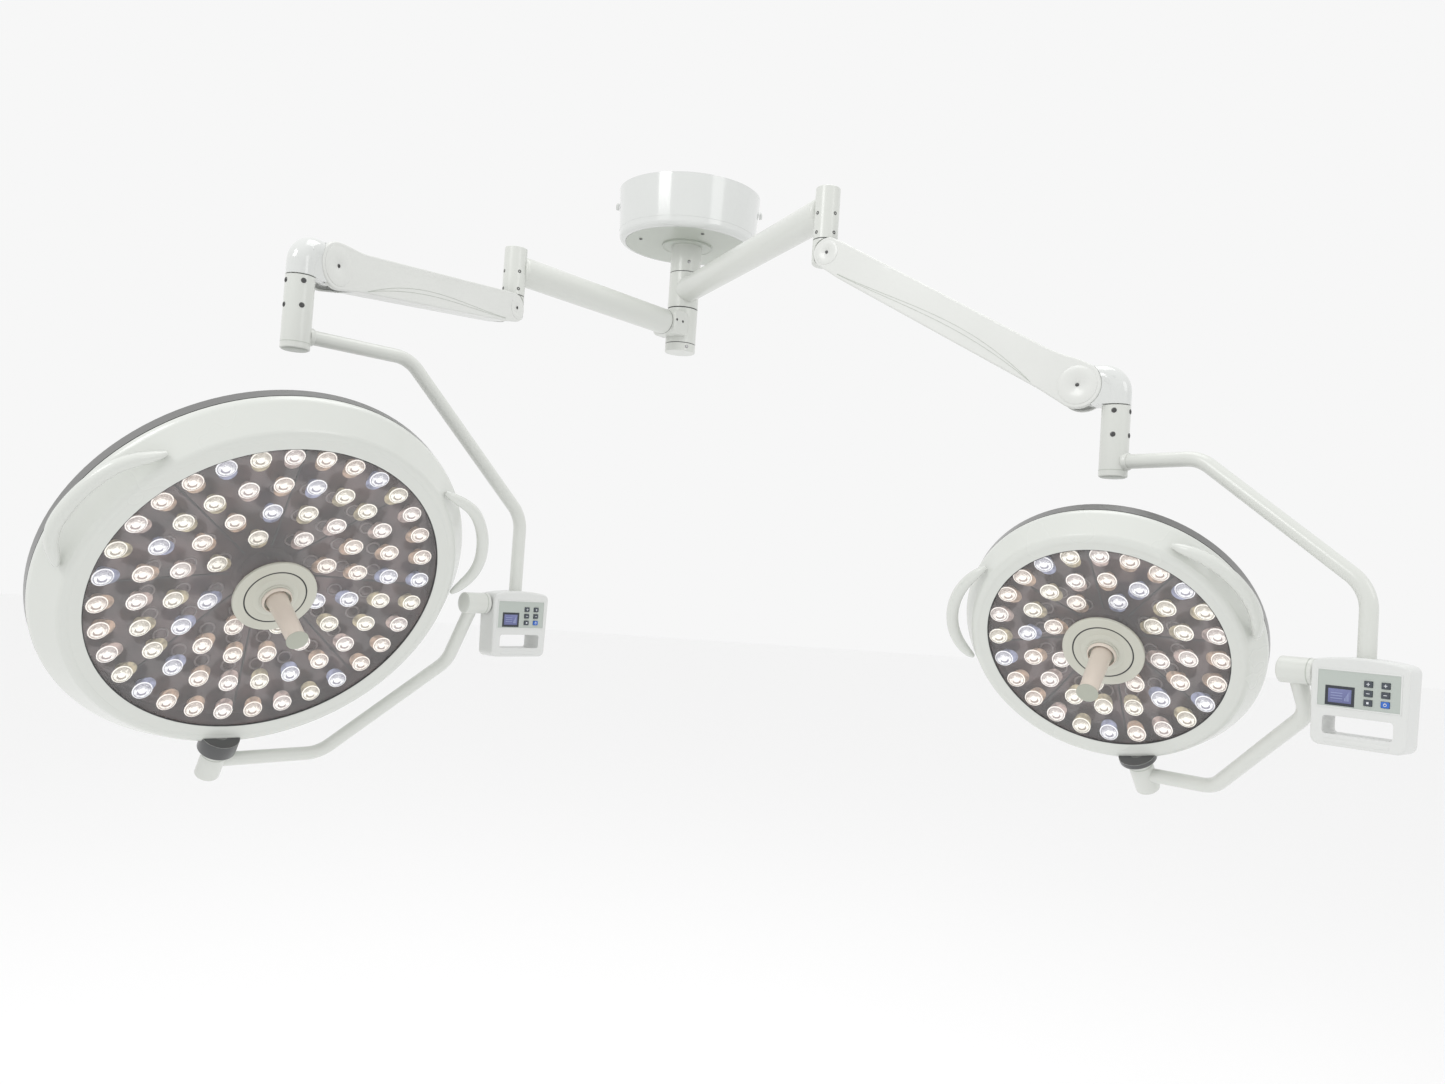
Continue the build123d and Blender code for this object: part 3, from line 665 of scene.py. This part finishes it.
def spin(angle, axis="Z"):
    return Matrix.Rotation(radians(angle), 4, axis)


def laid_on(direction):
    """Turns a piece's +Z to a direction in its parent frame."""
    return Vector(direction).to_track_quat("Z", "Y").to_matrix().to_4x4()


# ---------------------------------------------------------------- small hardware
def socket_screw(name, radius):
    """Set screw: a domed head with a round-cornered socket."""
    r = radius
    return turned(name, [(r, -0.6), (r, 0.15), (r * 0.86, 0.45), (r * 0.5, 0.5),
                         (r * 0.46, 0.4), (r * 0.4, -0.5)], 20)


def cross_screw(name, radius):
    """Pan-head screw with a cross recess."""
    r = radius
    head = turned(name, [(r, -0.5), (r, 0.3), (r * 0.9, 0.75), (r * 0.62, 1.05),
                         (r * 0.3, 1.15)], 24)
    for turn in (0, 90):
        bar = slab("cutter", (-r * 0.58, r * 0.58), (-r * 0.12, r * 0.12), (0.35, 2.0))
        set_in(bar, spin(turn))
        head = cut(head, bar)
    return head


def scatter(master, name, places, material, body):
    """Copies of a small piece at several places, as one piece."""
    parts = []
    for index, place in enumerate(places):
        parts.append(set_in(copy_of(master, f"{name}_{index}"), place))
    return finish_piece(joined(name, parts), material, body)


# ---------------------------------------------------------------- ceiling pieces
def ceiling_trim(F):
    """Joint rings of the spindle, dark to paint the shade in its gaps, its screws, and the canopy's
    screws, bead, knobs and seam.
    """
    root = "mount"
    gaps = ((SLEEVE_Z - 2, SLEEVE_Z), (UPPER_HUB_Z - 2, UPPER_HUB_Z + 1),
            (LOWER_HUB_Z - 1, LOWER_HUB_Z + 1))
    # painted shade: dark rings fill the spindle's joint gaps, where the shade falls
    for index, (low, high) in enumerate(gaps):
        gap = gap_shade_ring(f"spindle_gap_ring_{index + 1}", SPINDLE_BORE, GAP_R, low + 0.15,
                       high - 0.15, 96)
        finish_piece(gap, F["dark"], root)
    head = cross_screw("master", CEILING_SCREW)
    low = CANOPY_Z - 1.5
    spots = [spin(20 + 90 * i) @ shift(DISC_SCREW_R, 0, low) @ spin(180, "X") for i in range(4)]
    scatter(head, "disc_screw_heads", spots, F["screw"], root)
    spots = [spin(-75) @ shift(HUB_R, 0, SLEEVE_Z + 24) @ laid_on((1, 0, 0)),
             spin(-62) @ shift(HUB_R, 0, SPINDLE_Z + 12) @ laid_on((1, 0, 0))]
    scatter(head, "spindle_screws", spots, F["bright"], root)
    bpy.data.objects.remove(head)
    bead = ring_piece("canopy_trim_bead", [(62.5, -139), (64, -140.2), (65.2, -139)], 96)
    finish_piece(bead, F["disc"], root)
    for index, turn in enumerate((0, 180)):
        knob = turned(f"canopy_knob_{index + 1}", [(9.6, 0), (9.6, 4.5), (8.8, 5.6), (6.2, 6.2),
                                                   (3.0, 6.3)], 28)
        set_in(knob, spin(turn) @ shift(KNOB_OUT, 0, KNOB_Z) @ laid_on((1, 0, 0)))
        finish_piece(knob, F["canopy"], root)
    edge = CANOPY_Z + 24
    r = CANOPY_R
    seam = ring_piece("canopy_seam", [(r, edge - 0.5), (r + 0.7, edge), (r, edge + 0.5),
                                      (r - 0.6, edge)], 128)
    finish_piece(seam, F["canopy"], root)


# ---------------------------------------------------------------- arm pieces
def arm_trim(lamp, F):
    """Set screws and cap of the post, the dark joint ring under it that paints the shade in its gap,
    and the root's housing.
    """
    n = lamp.name
    arm = lamp.body("arm")
    master = socket_screw("master", POST_SCREW)
    spots = []
    upright = Matrix.Translation(lamp.post.translation)
    for turn in (-53, -143):
        for level in (-10, -49):
            outward = spin(turn) @ shift(POST_R, 0, level) @ laid_on((1, 0, 0))
            spots.append(upright @ outward)
    scatter(master, f"{n}_post_screws", spots, F["screw"], arm)
    bpy.data.objects.remove(master)
    # painted shade: a dark ring fills the gap under the post
    low = -POST_DOWN - JOINT_GAP
    gap = gap_shade_ring(f"{n}_post_gap_ring", GAP_BORE, POST_R - 1.2, low + 0.2, low + 1.8)
    set_in(gap, lamp.post)
    finish_piece(gap, F["dark"], arm)
    cap = turned(f"{n}_post_cap", [(24.6, POST_UP - 1), (24.6, POST_UP + 0.6),
                                   (23.6, POST_UP + 1.6), (8, POST_UP + 2)], 64)
    set_in(cap, lamp.arm @ shift(lamp.arm_l))
    finish_piece(cap, F["enamel"], arm)
    if n == "large":
        root_housing(lamp, F)


def root_housing(lamp, F):
    """Rounded housing over the large arm's root, with its seam and four screws."""
    arm = lamp.body("arm")
    shell = slab("large_root_housing", (16, 72), (-37.5, 37.5), (-31, 31))
    edit(shell, "EDGE")
    choose(shell, lambda e: along_y(shell, e), "edges")
    bpy.ops.mesh.bevel(offset=15 * MM, segments=6)
    done()
    rounded(shell, 2.5, 3)
    hub = turned("hub_cutter", [(HUB_R - 1.5, -60), (HUB_R - 1.5, 60)], 72)
    cut(shell, hub)
    set_in(shell, lamp.arm)
    finish_piece(shell, F["enamel"], arm)
    seam = ring_piece("large_root_seam", [(ARM_R - 0.6, 74.6), (ARM_R + 0.25, 74.6),
                                          (ARM_R + 0.25, 75.8), (ARM_R - 0.6, 75.8)], 72)
    set_in(seam, lamp.arm @ laid_on((1, 0, 0)))
    finish_piece(seam, F["dark"], arm)
    head = cross_screw("master", COVER_SCREW)
    spots = [lamp.arm @ shift(x, side * 37.3, 4) @ laid_on((0, side, 0))
             for x in (40, 64) for side in (-1, 1)]
    scatter(head, "large_arm_root_screws", spots, F["screw"], arm)
    bpy.data.objects.remove(head)


def along_y(obj, edge):
    """Whether an edge runs along Y."""
    a, b = (obj.data.vertices[i].co for i in edge.vertices)
    return abs(a.y - b.y) > 0.9 * (a - b).length


def pivot_cap(name, radius):
    """Flat cap over a pivot's pin, with a softened rim and a sunk seat for its screw."""
    r = radius
    return turned(name, [(r, -0.8), (r, 0.25), (r - 0.3, 0.65), (r - 1.0, 0.8), (5.6, 0.8),
                         (4.8, 0.3), (2.0, 0.2)], 64)


def arch_line(name, start, end, rise, thick, peak):
    """Fine raised line along an arch in the XY plane, highest at a share of its length."""
    lean = log(0.5) / log(peak)
    points = []
    for i in range(ARCH_STEPS + 1):
        t = i / ARCH_STEPS
        bow = sin(pi * t ** lean) ** 0.9
        x = start[0] + (end[0] - start[0]) * t
        y = start[1] + (end[1] - start[1]) * t + rise * bow
        points.append(((x, y, 0), 1))
    return tube_along(name, "POLY", points, thick, 1)


def sprung_arm_trim(lamp, F):
    """Caps and screws over the pins, and grey arched lines on the covers that paint the shade in their
    swage grooves.
    """
    n = lamp.name
    body = lamp.body("sprung_arm")
    parts = []
    for side in (-1, 1):
        for x, radius in ((0, REAR_R - 6), (SPRING_L, ELBOW_R - 7)):
            cap = pivot_cap("cap", radius)
            place = lamp.sprung @ shift(x, side * COVER_HALF, 0) @ laid_on((0, side, 0))
            parts.append(set_in(cap, place))
    finish_piece(joined(f"{n}_pivot_caps", parts), F["cover"], body)
    head = cross_screw("master", COVER_SCREW)
    spots = []
    for side in (-1, 1):
        for x in (0, SPRING_L):
            spots.append(lamp.sprung @ shift(x, side * (COVER_HALF + 0.2), 0)
                         @ laid_on((0, side, 0)))
    scatter(head, f"{n}_cover_screws", spots, F["screw"], body)
    bpy.data.objects.remove(head)
    parts = []
    upright = Matrix.Rotation(radians(90), 4, "X")
    # painted shade: the grey lines stand for the shade in the covers' grooves
    for side in (-1, 1):
        for drop, rise in ((0, 23), (-3.4, 19)):
            arch = arch_line("arch", (SPRING_L * 0.08, -27.0 + drop * 0.3),
                             (SPRING_L * 0.87, -33.5), rise + drop, 0.45, 0.62)
            parts.append(set_in(arch, lamp.sprung @ shift(0, side * (COVER_HALF + 0.05), 0)
                                @ upright))
    finish_piece(joined(f"{n}_cover_lines", parts), F["disc"], body, 60)


def elbow_trim(lamp, F):
    """Joint ring that paints the shade in the drop tube's gap, brake screws and end cap of the drop
    tube, and the yoke tube's collar.
    """
    n = lamp.name
    yoke = lamp.body("yoke")
    # painted shade: a dark ring fills the gap at the drop tube's top
    gap = gap_shade_ring(f"{n}_drop_gap_ring", GAP_BORE, DROP_R - 1.2, DROP_TOP + 0.2, DROP_TOP + 1.8)
    set_in(gap, lamp.drop)
    finish_piece(gap, F["dark"], yoke)
    master = cross_screw("master", BRAKE_SCREW)
    upright = Matrix.Translation(lamp.drop.translation)
    spots = []
    for turn in (-40, 40):
        for level in (DROP_TOP - 12, DROP_TOP - 53):
            spots.append(upright @ spin(lamp.brake_turn + turn) @ shift(DROP_R, 0, level)
                         @ laid_on((1, 0, 0)))
    scatter(master, f"{n}_brake_screws", spots, F["screw"], yoke)
    bpy.data.objects.remove(master)
    line = DROP_LOW + 11
    groove = ring_piece(f"{n}_drop_cap_line", [(DROP_R - 0.5, line - 0.6), (DROP_R + 0.25, line - 0.5),
                                               (DROP_R + 0.25, line + 0.5), (DROP_R - 0.5, line + 0.6)])
    set_in(groove, lamp.drop)
    finish_piece(groove, F["disc"], yoke)
    foot = turned(f"{n}_drop_foot", [(DROP_R - 3, DROP_LOW + 0.5), (DROP_R - 3, DROP_LOW - 0.7),
                                     (DROP_R - 4, DROP_LOW - 1.2), (5, DROP_LOW - 1.2)], 48)
    set_in(foot, lamp.drop)
    finish_piece(foot, F["disc"], yoke)
    seat = ring_piece(f"{n}_yoke_tube_collar", [(12.3, 20), (15.2, 20), (15.2, 27.5),
                                                (14.2, 29), (12.3, 29.4)], 48)
    set_in(seat, lamp.yoke @ laid_on((1, 0, 0)))
    finish_piece(seat, F["enamel"], yoke)


# ---------------------------------------------------------------- control box
def flat_uv(obj, width, height, x0, z0):
    """A flat map over a face that looks along Y, from nought to one across it."""
    layer = obj.data.uv_layers.get("UVMap") or obj.data.uv_layers.new(name="UVMap")
    for loop in obj.data.loops:
        co = obj.data.vertices[loop.vertex_index].co
        layer.data[loop.index].uv = ((co.x / MM - x0) / width, (co.z / MM - z0) / height)


def box_trim(lamp, F):
    """Panel edge, display, key marks, screws, back plate and handle pad of the box."""
    n = lamp.name
    yoke = lamp.body("yoke")
    front = BOX_FRONT
    half_w = PANEL_W / 2
    half_h = PANEL_H / 2
    bezel = slab(f"{n}_panel_bezel", (-half_w - 1.6, half_w + 1.6), (front - 0.7, front + 0.6),
                 (PANEL_Z - half_h - 1.6, PANEL_Z + half_h + 1.6))
    hole = slab("hole", (-half_w + 0.4, half_w - 0.4), (front - 3, front + 3),
                (PANEL_Z - half_h + 0.4, PANEL_Z + half_h - 0.4))
    rounded(cut(bezel, hole), 0.35, 2)
    set_in(bezel, lamp.box)
    finish_piece(bezel, F["box"], yoke)
    x = (SCREEN_X - SCREEN_W / 2, SCREEN_X + SCREEN_W / 2)
    z = (SCREEN_Z - SCREEN_H / 2, SCREEN_Z + SCREEN_H / 2)
    glass = slab(f"{n}_display", (x[0] + 0.4, x[1] - 0.4), (front - 0.1, front + 0.7),
                 (z[0] + 0.4, z[1] - 0.4), 0.25, 2)
    flat_uv(glass, x[1] - x[0] - 6, z[1] - z[0] - 6, x[0] + 3, z[0] + 3)
    set_in(glass, lamp.box)
    finish_piece(glass, F["screen"], yoke)
    rim = slab(f"{n}_display_frame", (x[0] - 1.4, x[1] + 1.4), (front - 0.35, front + 0.5),
               (z[0] - 1.4, z[1] + 1.4))
    hole = slab("hole", (x[0] + 2.6, x[1] - 2.6), (front - 3, front + 3),
                (z[0] + 2.6, z[1] - 2.6))
    rounded(cut(rim, hole), 0.15, 1)
    set_in(rim, lamp.box)
    finish_piece(rim, F["film_dark"], yoke)
    number = 0
    for key_z in KEY_ROWS:
        for key_x in KEY_COLUMNS:
            number += 1
            key_mark(lamp, F, number, key_x, key_z)
    head = cross_screw("master", BOX_SCREW)
    spots = [lamp.box @ shift(sx * 50, BOX_BACK, z) @ laid_on((0, 1, 0))
             for sx in (-1, 1) for z in (8, -48)]
    scatter(head, f"{n}_box_screws", spots, F["bright"], yoke)
    bpy.data.objects.remove(head)
    plate = slab(f"{n}_box_back_plate", (-44, 44), (BOX_BACK - 0.4, BOX_BACK + 0.8), (-50, 4),
                 0.6, 2)
    set_in(plate, lamp.box)
    finish_piece(plate, F["box"], yoke)
    pad = slab(f"{n}_box_handle_pad", (-42, 42), (front - 0.6, front + 0.4), (-96, -90), 0.5, 2)
    set_in(pad, lamp.box)
    finish_piece(pad, F["box"], yoke)


def key_mark(lamp, F, number, x, z):
    """A plain raised sign on a key: a cross, a bar, a square, or a dial with a stroke."""
    n = lamp.name
    face = BOX_FRONT - KEY_PROUD
    y = (face - 0.25, face + 0.2)
    parts = []
    if number in (1, 2, 3, 4):
        parts.append(slab("bar", (-2.2, 2.2), y, (-0.45, 0.45)))
    if number in (1, 2):
        parts.append(slab("post", (-0.45, 0.45), y, (-2.2, 2.2)))
    if number == 5:
        parts.append(slab("block", (-1.5, 1.5), y, (-1.5, 1.5)))
    if number == 6:
        dial = ring_piece("dial", [(1.5, -0.2), (2.2, -0.2), (2.2, 0.25), (1.5, 0.25)], 24)
        parts.append(set_in(dial, shift(0, face, 0) @ laid_on((0, -1, 0))))
        parts.append(slab("stroke", (-0.35, 0.35), y, (0.6, 2.9)))
    mark = joined(f"{n}_key_mark_{number}", parts)
    set_in(mark, lamp.box @ shift(x, 0, z))
    finish_piece(mark, F["mark"], lamp.body(f"button_{number}"))


# ---------------------------------------------------------------- dome
def lens_master():
    """One light source's lens: a tinted cup, a rim, and a lit front."""
    r = LED_R
    outline = [(8.2, 0.6), (13.0, LED_H - 6.0), (14.0, LED_H - 3.6), (r * 0.98, LED_H - 2.0),
               (r, LED_H - 1.2), (r * 0.9, LED_H - 0.3), (r * 0.45, LED_H - 1.0),
               (r * 0.14, LED_H + 0.2)]
    lens = turned("lens_master", outline, 18)
    layer = lens.data.uv_layers.get("UVMap") or lens.data.uv_layers.new(name="UVMap")
    for loop in lens.data.loops:
        co = lens.data.vertices[loop.vertex_index].co
        layer.data[loop.index].uv = (co.x / MM / r / 2 + 0.5, co.y / MM / r / 2 + 0.5)
    for face in lens.data.polygons:
        low = face.center.z / MM < LED_H - 2.5
        face.material_index = 1 if low else 0
    return lens


def leaned(lens, turn):
    """The lens with its cup moved the way that a turn gives, its foot by less."""
    lean = Vector((cos(radians(turn)), sin(radians(turn)), 0)) * CUP_LEAN * MM
    edit(lens)
    choose(lens, lambda v: v.co.z < CUP_TOP * MM, "vertices")
    bpy.ops.transform.translate(value=lean * CUP_FOOT_SHARE)
    choose(lens, lambda v: 2 * MM < v.co.z < CUP_TOP * MM, "vertices")
    bpy.ops.transform.translate(value=lean * (1 - CUP_FOOT_SHARE))
    return done()


def light_sources(lamp, F):
    """Every light source, in four tints, in place of the plain ones."""
    n = lamp.name
    master = lens_master()
    kinds = list(TINTS)
    groups = {kind: [] for kind in kinds}
    for ring_index, (count, radius) in enumerate(lamp.led_rings):
        for i in range(count):
            turn = lamp.led_turn + 360 / count * (i + 0.5)
            tint = kinds[(i * 3 + ring_index * 2 + i // 5) % len(kinds)]
            place = (lamp.dome @ spin(turn)
                     @ shift(radius, 0, lamp.dish(radius) + lamp.led_rise)
                     @ spin(-DISH_TILT, "Y") @ spin(90 - turn))
            twin = leaned(copy_of(master, f"{n}_{tint}_{ring_index}_{i}"), turn + 90)
            twin.data.materials.append(F["lit_" + tint])
            twin.data.materials.append(F["cone_" + tint])
            groups[tint].append(set_in(twin, place))
    for kind in kinds:
        group = joined(f"{n}_light_sources_{kind}", groups[kind])
        finish_piece(group, None, lamp.body("dome"), 40)
        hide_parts(f"{n}_led_lenses")
    bpy.data.objects.remove(master)


def plate_lines(lamp, F):
    """Dark joints between the eight sectors of the base plate."""
    n = lamp.name
    bars = []
    rim = lamp.lens_r - 3
    inner = SOCKET_R + 12
    for i in range(SECTORS):
        bar = slab("bar", (0, rim - inner), (-1.4, 1.4), (-0.5, 0.6))
        place = (lamp.dome @ spin(lamp.led_turn + 360 / SECTORS * i)
                 @ shift(inner, 0, lamp.dish(inner)) @ spin(-DISH_TILT, "Y"))
        bars.append(set_in(bar, place))
    finish_piece(joined(f"{n}_plate_lines", bars), F["dark"], lamp.body("dome"))


def base_rings(lamp, F):
    """A low ring on the plate beside every light source but the outermost."""
    n = lamp.name
    seat = ring_piece("seat", [(9.5, 0.1), (13.0, 0.1), (12.6, 0.9), (9.9, 0.9)], 20)
    parts = []
    for count, radius in lamp.led_rings[1:]:
        for i in range(count):
            turn = lamp.led_turn + 360 / count * (i + 0.5)
            inner = radius - SEAT_INWARD
            place = (lamp.dome @ spin(turn) @ shift(inner, 0, lamp.dish(inner))
                     @ spin(-DISH_TILT, "Y"))
            parts.append(set_in(copy_of(seat, "seat"), place))
    bpy.data.objects.remove(seat)
    rings = joined(f"{n}_lens_seats", parts)
    finish_piece(rings, F["seat"], lamp.body("dome"))


def dome_trim(lamp, F):
    """Gasket, rings of the socket, hub sleeve, the back cover's seam, and handle ends."""
    n = lamp.name
    dome = lamp.body("dome")
    r = lamp.lens_r
    gasket = ring_piece(f"{n}_lens_gasket", [(r - 1.8, -0.1), (r - 1.6, 0.9), (r + 0.1, 1.3),
                                             (r + 0.1, -0.1)], 160)
    set_in(gasket, lamp.dome)
    finish_piece(gasket, F["dark"], dome)
    socket = ring_piece(f"{n}_socket_ring", [(48.6, 3.9), (51.0, 3.9), (50.8, 4.9), (48.8, 4.9)])
    set_in(socket, lamp.dome)
    finish_piece(socket, F["dark"], dome)
    low = lamp.dish(SOCKET_R + 8) + 0.4
    skirt = ring_piece(f"{n}_socket_barrel", [(SOCKET_R - 1, low), (SOCKET_R + 0.5, low),
                                              (SOCKET_R + 0.5, -5), (SOCKET_R - 1, -5)], 96)
    set_in(skirt, lamp.dome)
    finish_piece(skirt, F["mirror"], dome)
    step = ring_piece(f"{n}_socket_step", [(23.3, 8.6), (27.5, 8.6), (26.5, 10.8), (23.3, 11.2)])
    set_in(step, lamp.dome)
    finish_piece(step, F["beige"], dome)
    near, far = lamp.collar
    inner = COLLAR_R + 0.1
    sleeve = ring_piece(f"{n}_hub_sleeve", [(10.6, near - 0.3), (COLLAR_R - 0.6, near - 0.3),
                                            (inner + 0.2, near + 0.5), (inner + 0.2, far - 1),
                                            (inner - 0.4, far + 0.1), (10.6, far + 0.1)], 64)
    set_in(sleeve, lamp.dome @ laid_on((1, 0, 0)))
    finish_piece(sleeve, F["collar"], lamp.body("cradle"))
    seam = ring_piece(f"{n}_dome_seam", [(lamp.dome_r - 4, -lamp.seam - 2.2),
                                         (lamp.dome_r - 0.8, -lamp.seam - 2.2),
                                         (lamp.dome_r - 0.8, -lamp.seam + 0.2),
                                         (lamp.dome_r - 4, -lamp.seam + 0.2)], 160)
    cutter = turned("cutter", [(COLLAR_R + 1, lamp.collar[0] - 4), (COLLAR_R + 1, lamp.dome_r + 9)])
    set_in(cutter, laid_on((1, 0, 0)))
    cut(seam, cutter)
    set_in(seam, lamp.dome)
    finish_piece(seam, F["dark"], dome)
    root = HANDLE_ROOT
    tip = root + HANDLE_L
    end = turned(f"{n}_handle_end", [(HANDLE_TIP_R - 1.6, tip - 0.6), (HANDLE_TIP_R - 1.4, tip + 0.5),
                                     (HANDLE_TIP_R - 2.4, tip + 1.0), (4, tip + 1.1)], 48)
    set_in(end, lamp.dome)
    finish_piece(end, F["tip"], lamp.body("handle"))
    skirt = ring_piece(f"{n}_handle_skirt", [(21.6, root + 0.2), (24.4, root + 0.2),
                                             (23.8, root + 3.2), (21.8, root + 5.5)], 64)
    set_in(skirt, lamp.dome)
    finish_piece(skirt, F["handle"], lamp.body("handle"))


def side_grips(lamp, F):
    """Curved grips that swell in the middle and taper into the dome's edge."""
    n = lamp.name
    grips = []
    for side in (-1, 1):
        # share of the half angle, distance from the axis, height, share of the thickness
        steps = ((-1.0, lamp.grip_foot - 3, -7, 0.36), (-0.9, lamp.grip_foot + 2, -2, 0.85),
                 (-0.62, lamp.grip_apex - 4, 4, 1.0), (-0.2, lamp.grip_apex + 2.5, 8, 1.05),
                 (0.2, lamp.grip_apex + 2.5, 8, 1.05), (0.62, lamp.grip_apex - 4, 4, 1.0),
                 (0.9, lamp.grip_foot + 2, -2, 0.85), (1.0, lamp.grip_foot - 3, -7, 0.36))
        points = []
        for share, radius, height, thick in steps:
            turn = radians(side * GRIP_TURN + share * lamp.grip_half)
            points.append(((radius * cos(turn), radius * sin(turn), height), thick))
        grips.append(set_in(tube_along("grip", "NURBS", points, GRIP_R, 5), lamp.dome))
    pair = joined(f"{n}_grips", grips)
    finish_piece(pair, F["ring"], lamp.body("dome"), 60)
    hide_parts(f"{n}_side_grips")


def cradle_trim(lamp, F):
    """Lines and caps of the tilt barrel and the hub."""
    n = lamp.name
    body = lamp.body("cradle")
    side = lamp.reach - BOX_TO_BARREL
    inner = side - BARREL_L
    line = ring_piece(f"{n}_barrel_line", [(19.6, side - 9), (20.35, side - 8.6),
                                           (20.35, side - 7.4), (19.6, side - 7)], 64)
    set_in(line, lamp.cradle @ laid_on((1, 0, 0)))
    finish_piece(line, F["disc"], body)
    cap = turned(f"{n}_barrel_cap", [(17.5, -0.4), (17.5, 0.7), (16.4, 1.4), (5, 1.6)], 48)
    set_in(cap, lamp.cradle @ shift(inner) @ laid_on((-1, 0, 0)))
    finish_piece(cap, F["enamel"], body)
    end = lamp.hub_drop + HUB_REACH
    foot = turned(f"{n}_hub_cap", [(18.5, -0.4), (18.5, 0.6), (17.5, 1.2), (5, 1.4)], 48)
    set_in(foot, lamp.cradle @ shift(0, 0, -end) @ laid_on((0, 0, -1)))
    finish_piece(foot, F["enamel"], body)
    far = lamp.collar[1]
    ring = ring_piece(f"{n}_hub_line", [(20.6, 0), (21.4, 0.3), (21.4, 1.5), (20.6, 1.8)], 64)
    set_in(ring, lamp.cradle @ shift(0, 0, -far - 12) @ laid_on((0, 0, -1)))
    finish_piece(ring, F["disc"], body)


# ---------------------------------------------------------------- finishes on the frame
NODE_FINISH = {
    "ceiling_plate": "steel", "flange_bolts": "steel", "spindle_column": "enamel",
    "canopy": "canopy", "canopy_disc": "disc", "canopy_screws": "canopy",
    "power_supply": "steel", "spindle_end_cap": "enamel", "spindle_arm": "enamel",
    "pivot_block": "enamel", "arm_frame": "steel", "balance_spring": "steel",
    "arm_cover_left": "cover", "arm_cover_right": "cover", "elbow": "canopy",
    "drop_tube": "enamel", "upper_yoke": "enamel", "control_box": "box",
    "control_panel": "film", "lower_yoke": "enamel", "back_cover": "back",
    "ring_cover": "ring", "side_grips": "ring", "front_lens": "clear", "base_plate": "mirror",
    "led_lenses": "clear", "handle_socket": "beige", "sterile_handle": "handle",
}


def dress_nodes(F):
    """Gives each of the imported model's nodes its finish."""
    for name, obj in NODES.items():
        kind = name.replace("large_", "").replace("small_", "")
        finish = NODE_FINISH.get(kind, "key")
        if kind == "key_6":
            finish = "blue_key"
        obj.data.materials.clear()
        obj.data.materials.append(F[finish])


# ---------------------------------------------------------------- stage
def stage():
    """Pale floor and backdrop colour, and three soft lights."""
    low = cad_box[0][2] - FLOOR_DROP
    clear_selection()
    bpy.ops.mesh.primitive_plane_add(size=60, location=(0, 0, low))
    floor = named("floor")
    floor.data.materials.append(Finish("pale_floor", (0.97, 0.97, 0.97), 0.9).material)
    world = bpy.data.worlds.new("studio")
    bpy.context.scene.world = world
    world.use_nodes = True
    world.node_tree.nodes["Background"].inputs[0].default_value = (*PALE, 1)
    world.node_tree.nodes["Background"].inputs[1].default_value = 1.0
    bpy.context.scene.view_settings.view_transform = "Standard"
    for name, place, size, power in LIGHTS:
        light = bpy.data.lights.new(name, "AREA")
        light.size = size
        light.energy = power
        obj = bpy.data.objects.new(name, light)
        obj.location = place
        obj.rotation_euler = (LIGHT_AIM - Vector(place)).to_track_quat("-Z", "Y").to_euler()
        bpy.context.collection.objects.link(obj)


def place_camera():
    """The camera, level with the domes, looking slightly up and a little rolled."""
    pitch = radians(EYE_PITCH)
    roll = radians(EYE_ROLL)
    ahead = Vector((0, cos(pitch), sin(pitch)))
    upright = Vector((0, -sin(pitch), cos(pitch)))
    right = Vector((cos(roll), 0, 0)) + upright * sin(roll)
    up = Vector((-sin(roll), 0, 0)) + upright * cos(roll)
    camera = bpy.data.cameras.new("camera")
    camera.lens = LENS_MM
    camera.sensor_width = 36.0
    camera.sensor_fit = "HORIZONTAL"
    eye = bpy.data.objects.new("camera", camera)
    turn = Matrix((right, up, -ahead)).transposed().to_4x4()
    eye.matrix_world = Matrix.Translation(EYE) @ turn
    bpy.context.collection.objects.link(eye)
    bpy.context.scene.camera = eye


def build():
    """Both lamps with their own sizes, and every piece of each."""
    large = Lamp("large", lens_r=280.0, dome_r=345.0, seam=48.0, led_z=-16.0,
                 led_rings=((32, 260.0), (24, 204.0), (16, 150.0), (8, 99.5)), led_turn=4.2,
                 grip_half=20.5, grip_foot=328.0, grip_apex=362.0, collar=(303.0, 331.0),
                 hub_drop=358.0, led_rise=5.0, brake_turn=-95)
    small = Lamp("small", lens_r=200.0, dome_r=250.0, seam=42.0, led_z=-9.0,
                 led_rings=((24, 186.0), (16, 135.5), (8, 93.0)), led_turn=-5.1,
                 grip_half=24.5, grip_foot=243.0, grip_apex=262.0, collar=(222.0, 231.0),
                 hub_drop=266.0, led_rise=2.5, brake_turn=-78)
    stage()
    place_camera()
    F = finishes()
    dress_nodes(F)
    ceiling_trim(F)
    for lamp in (large, small):
        arm_trim(lamp, F)
        sprung_arm_trim(lamp, F)
        elbow_trim(lamp, F)
        box_trim(lamp, F)
        light_sources(lamp, F)
        base_rings(lamp, F)
        plate_lines(lamp, F)
        dome_trim(lamp, F)
        side_grips(lamp, F)
        cradle_trim(lamp, F)


build()
clear_selection()
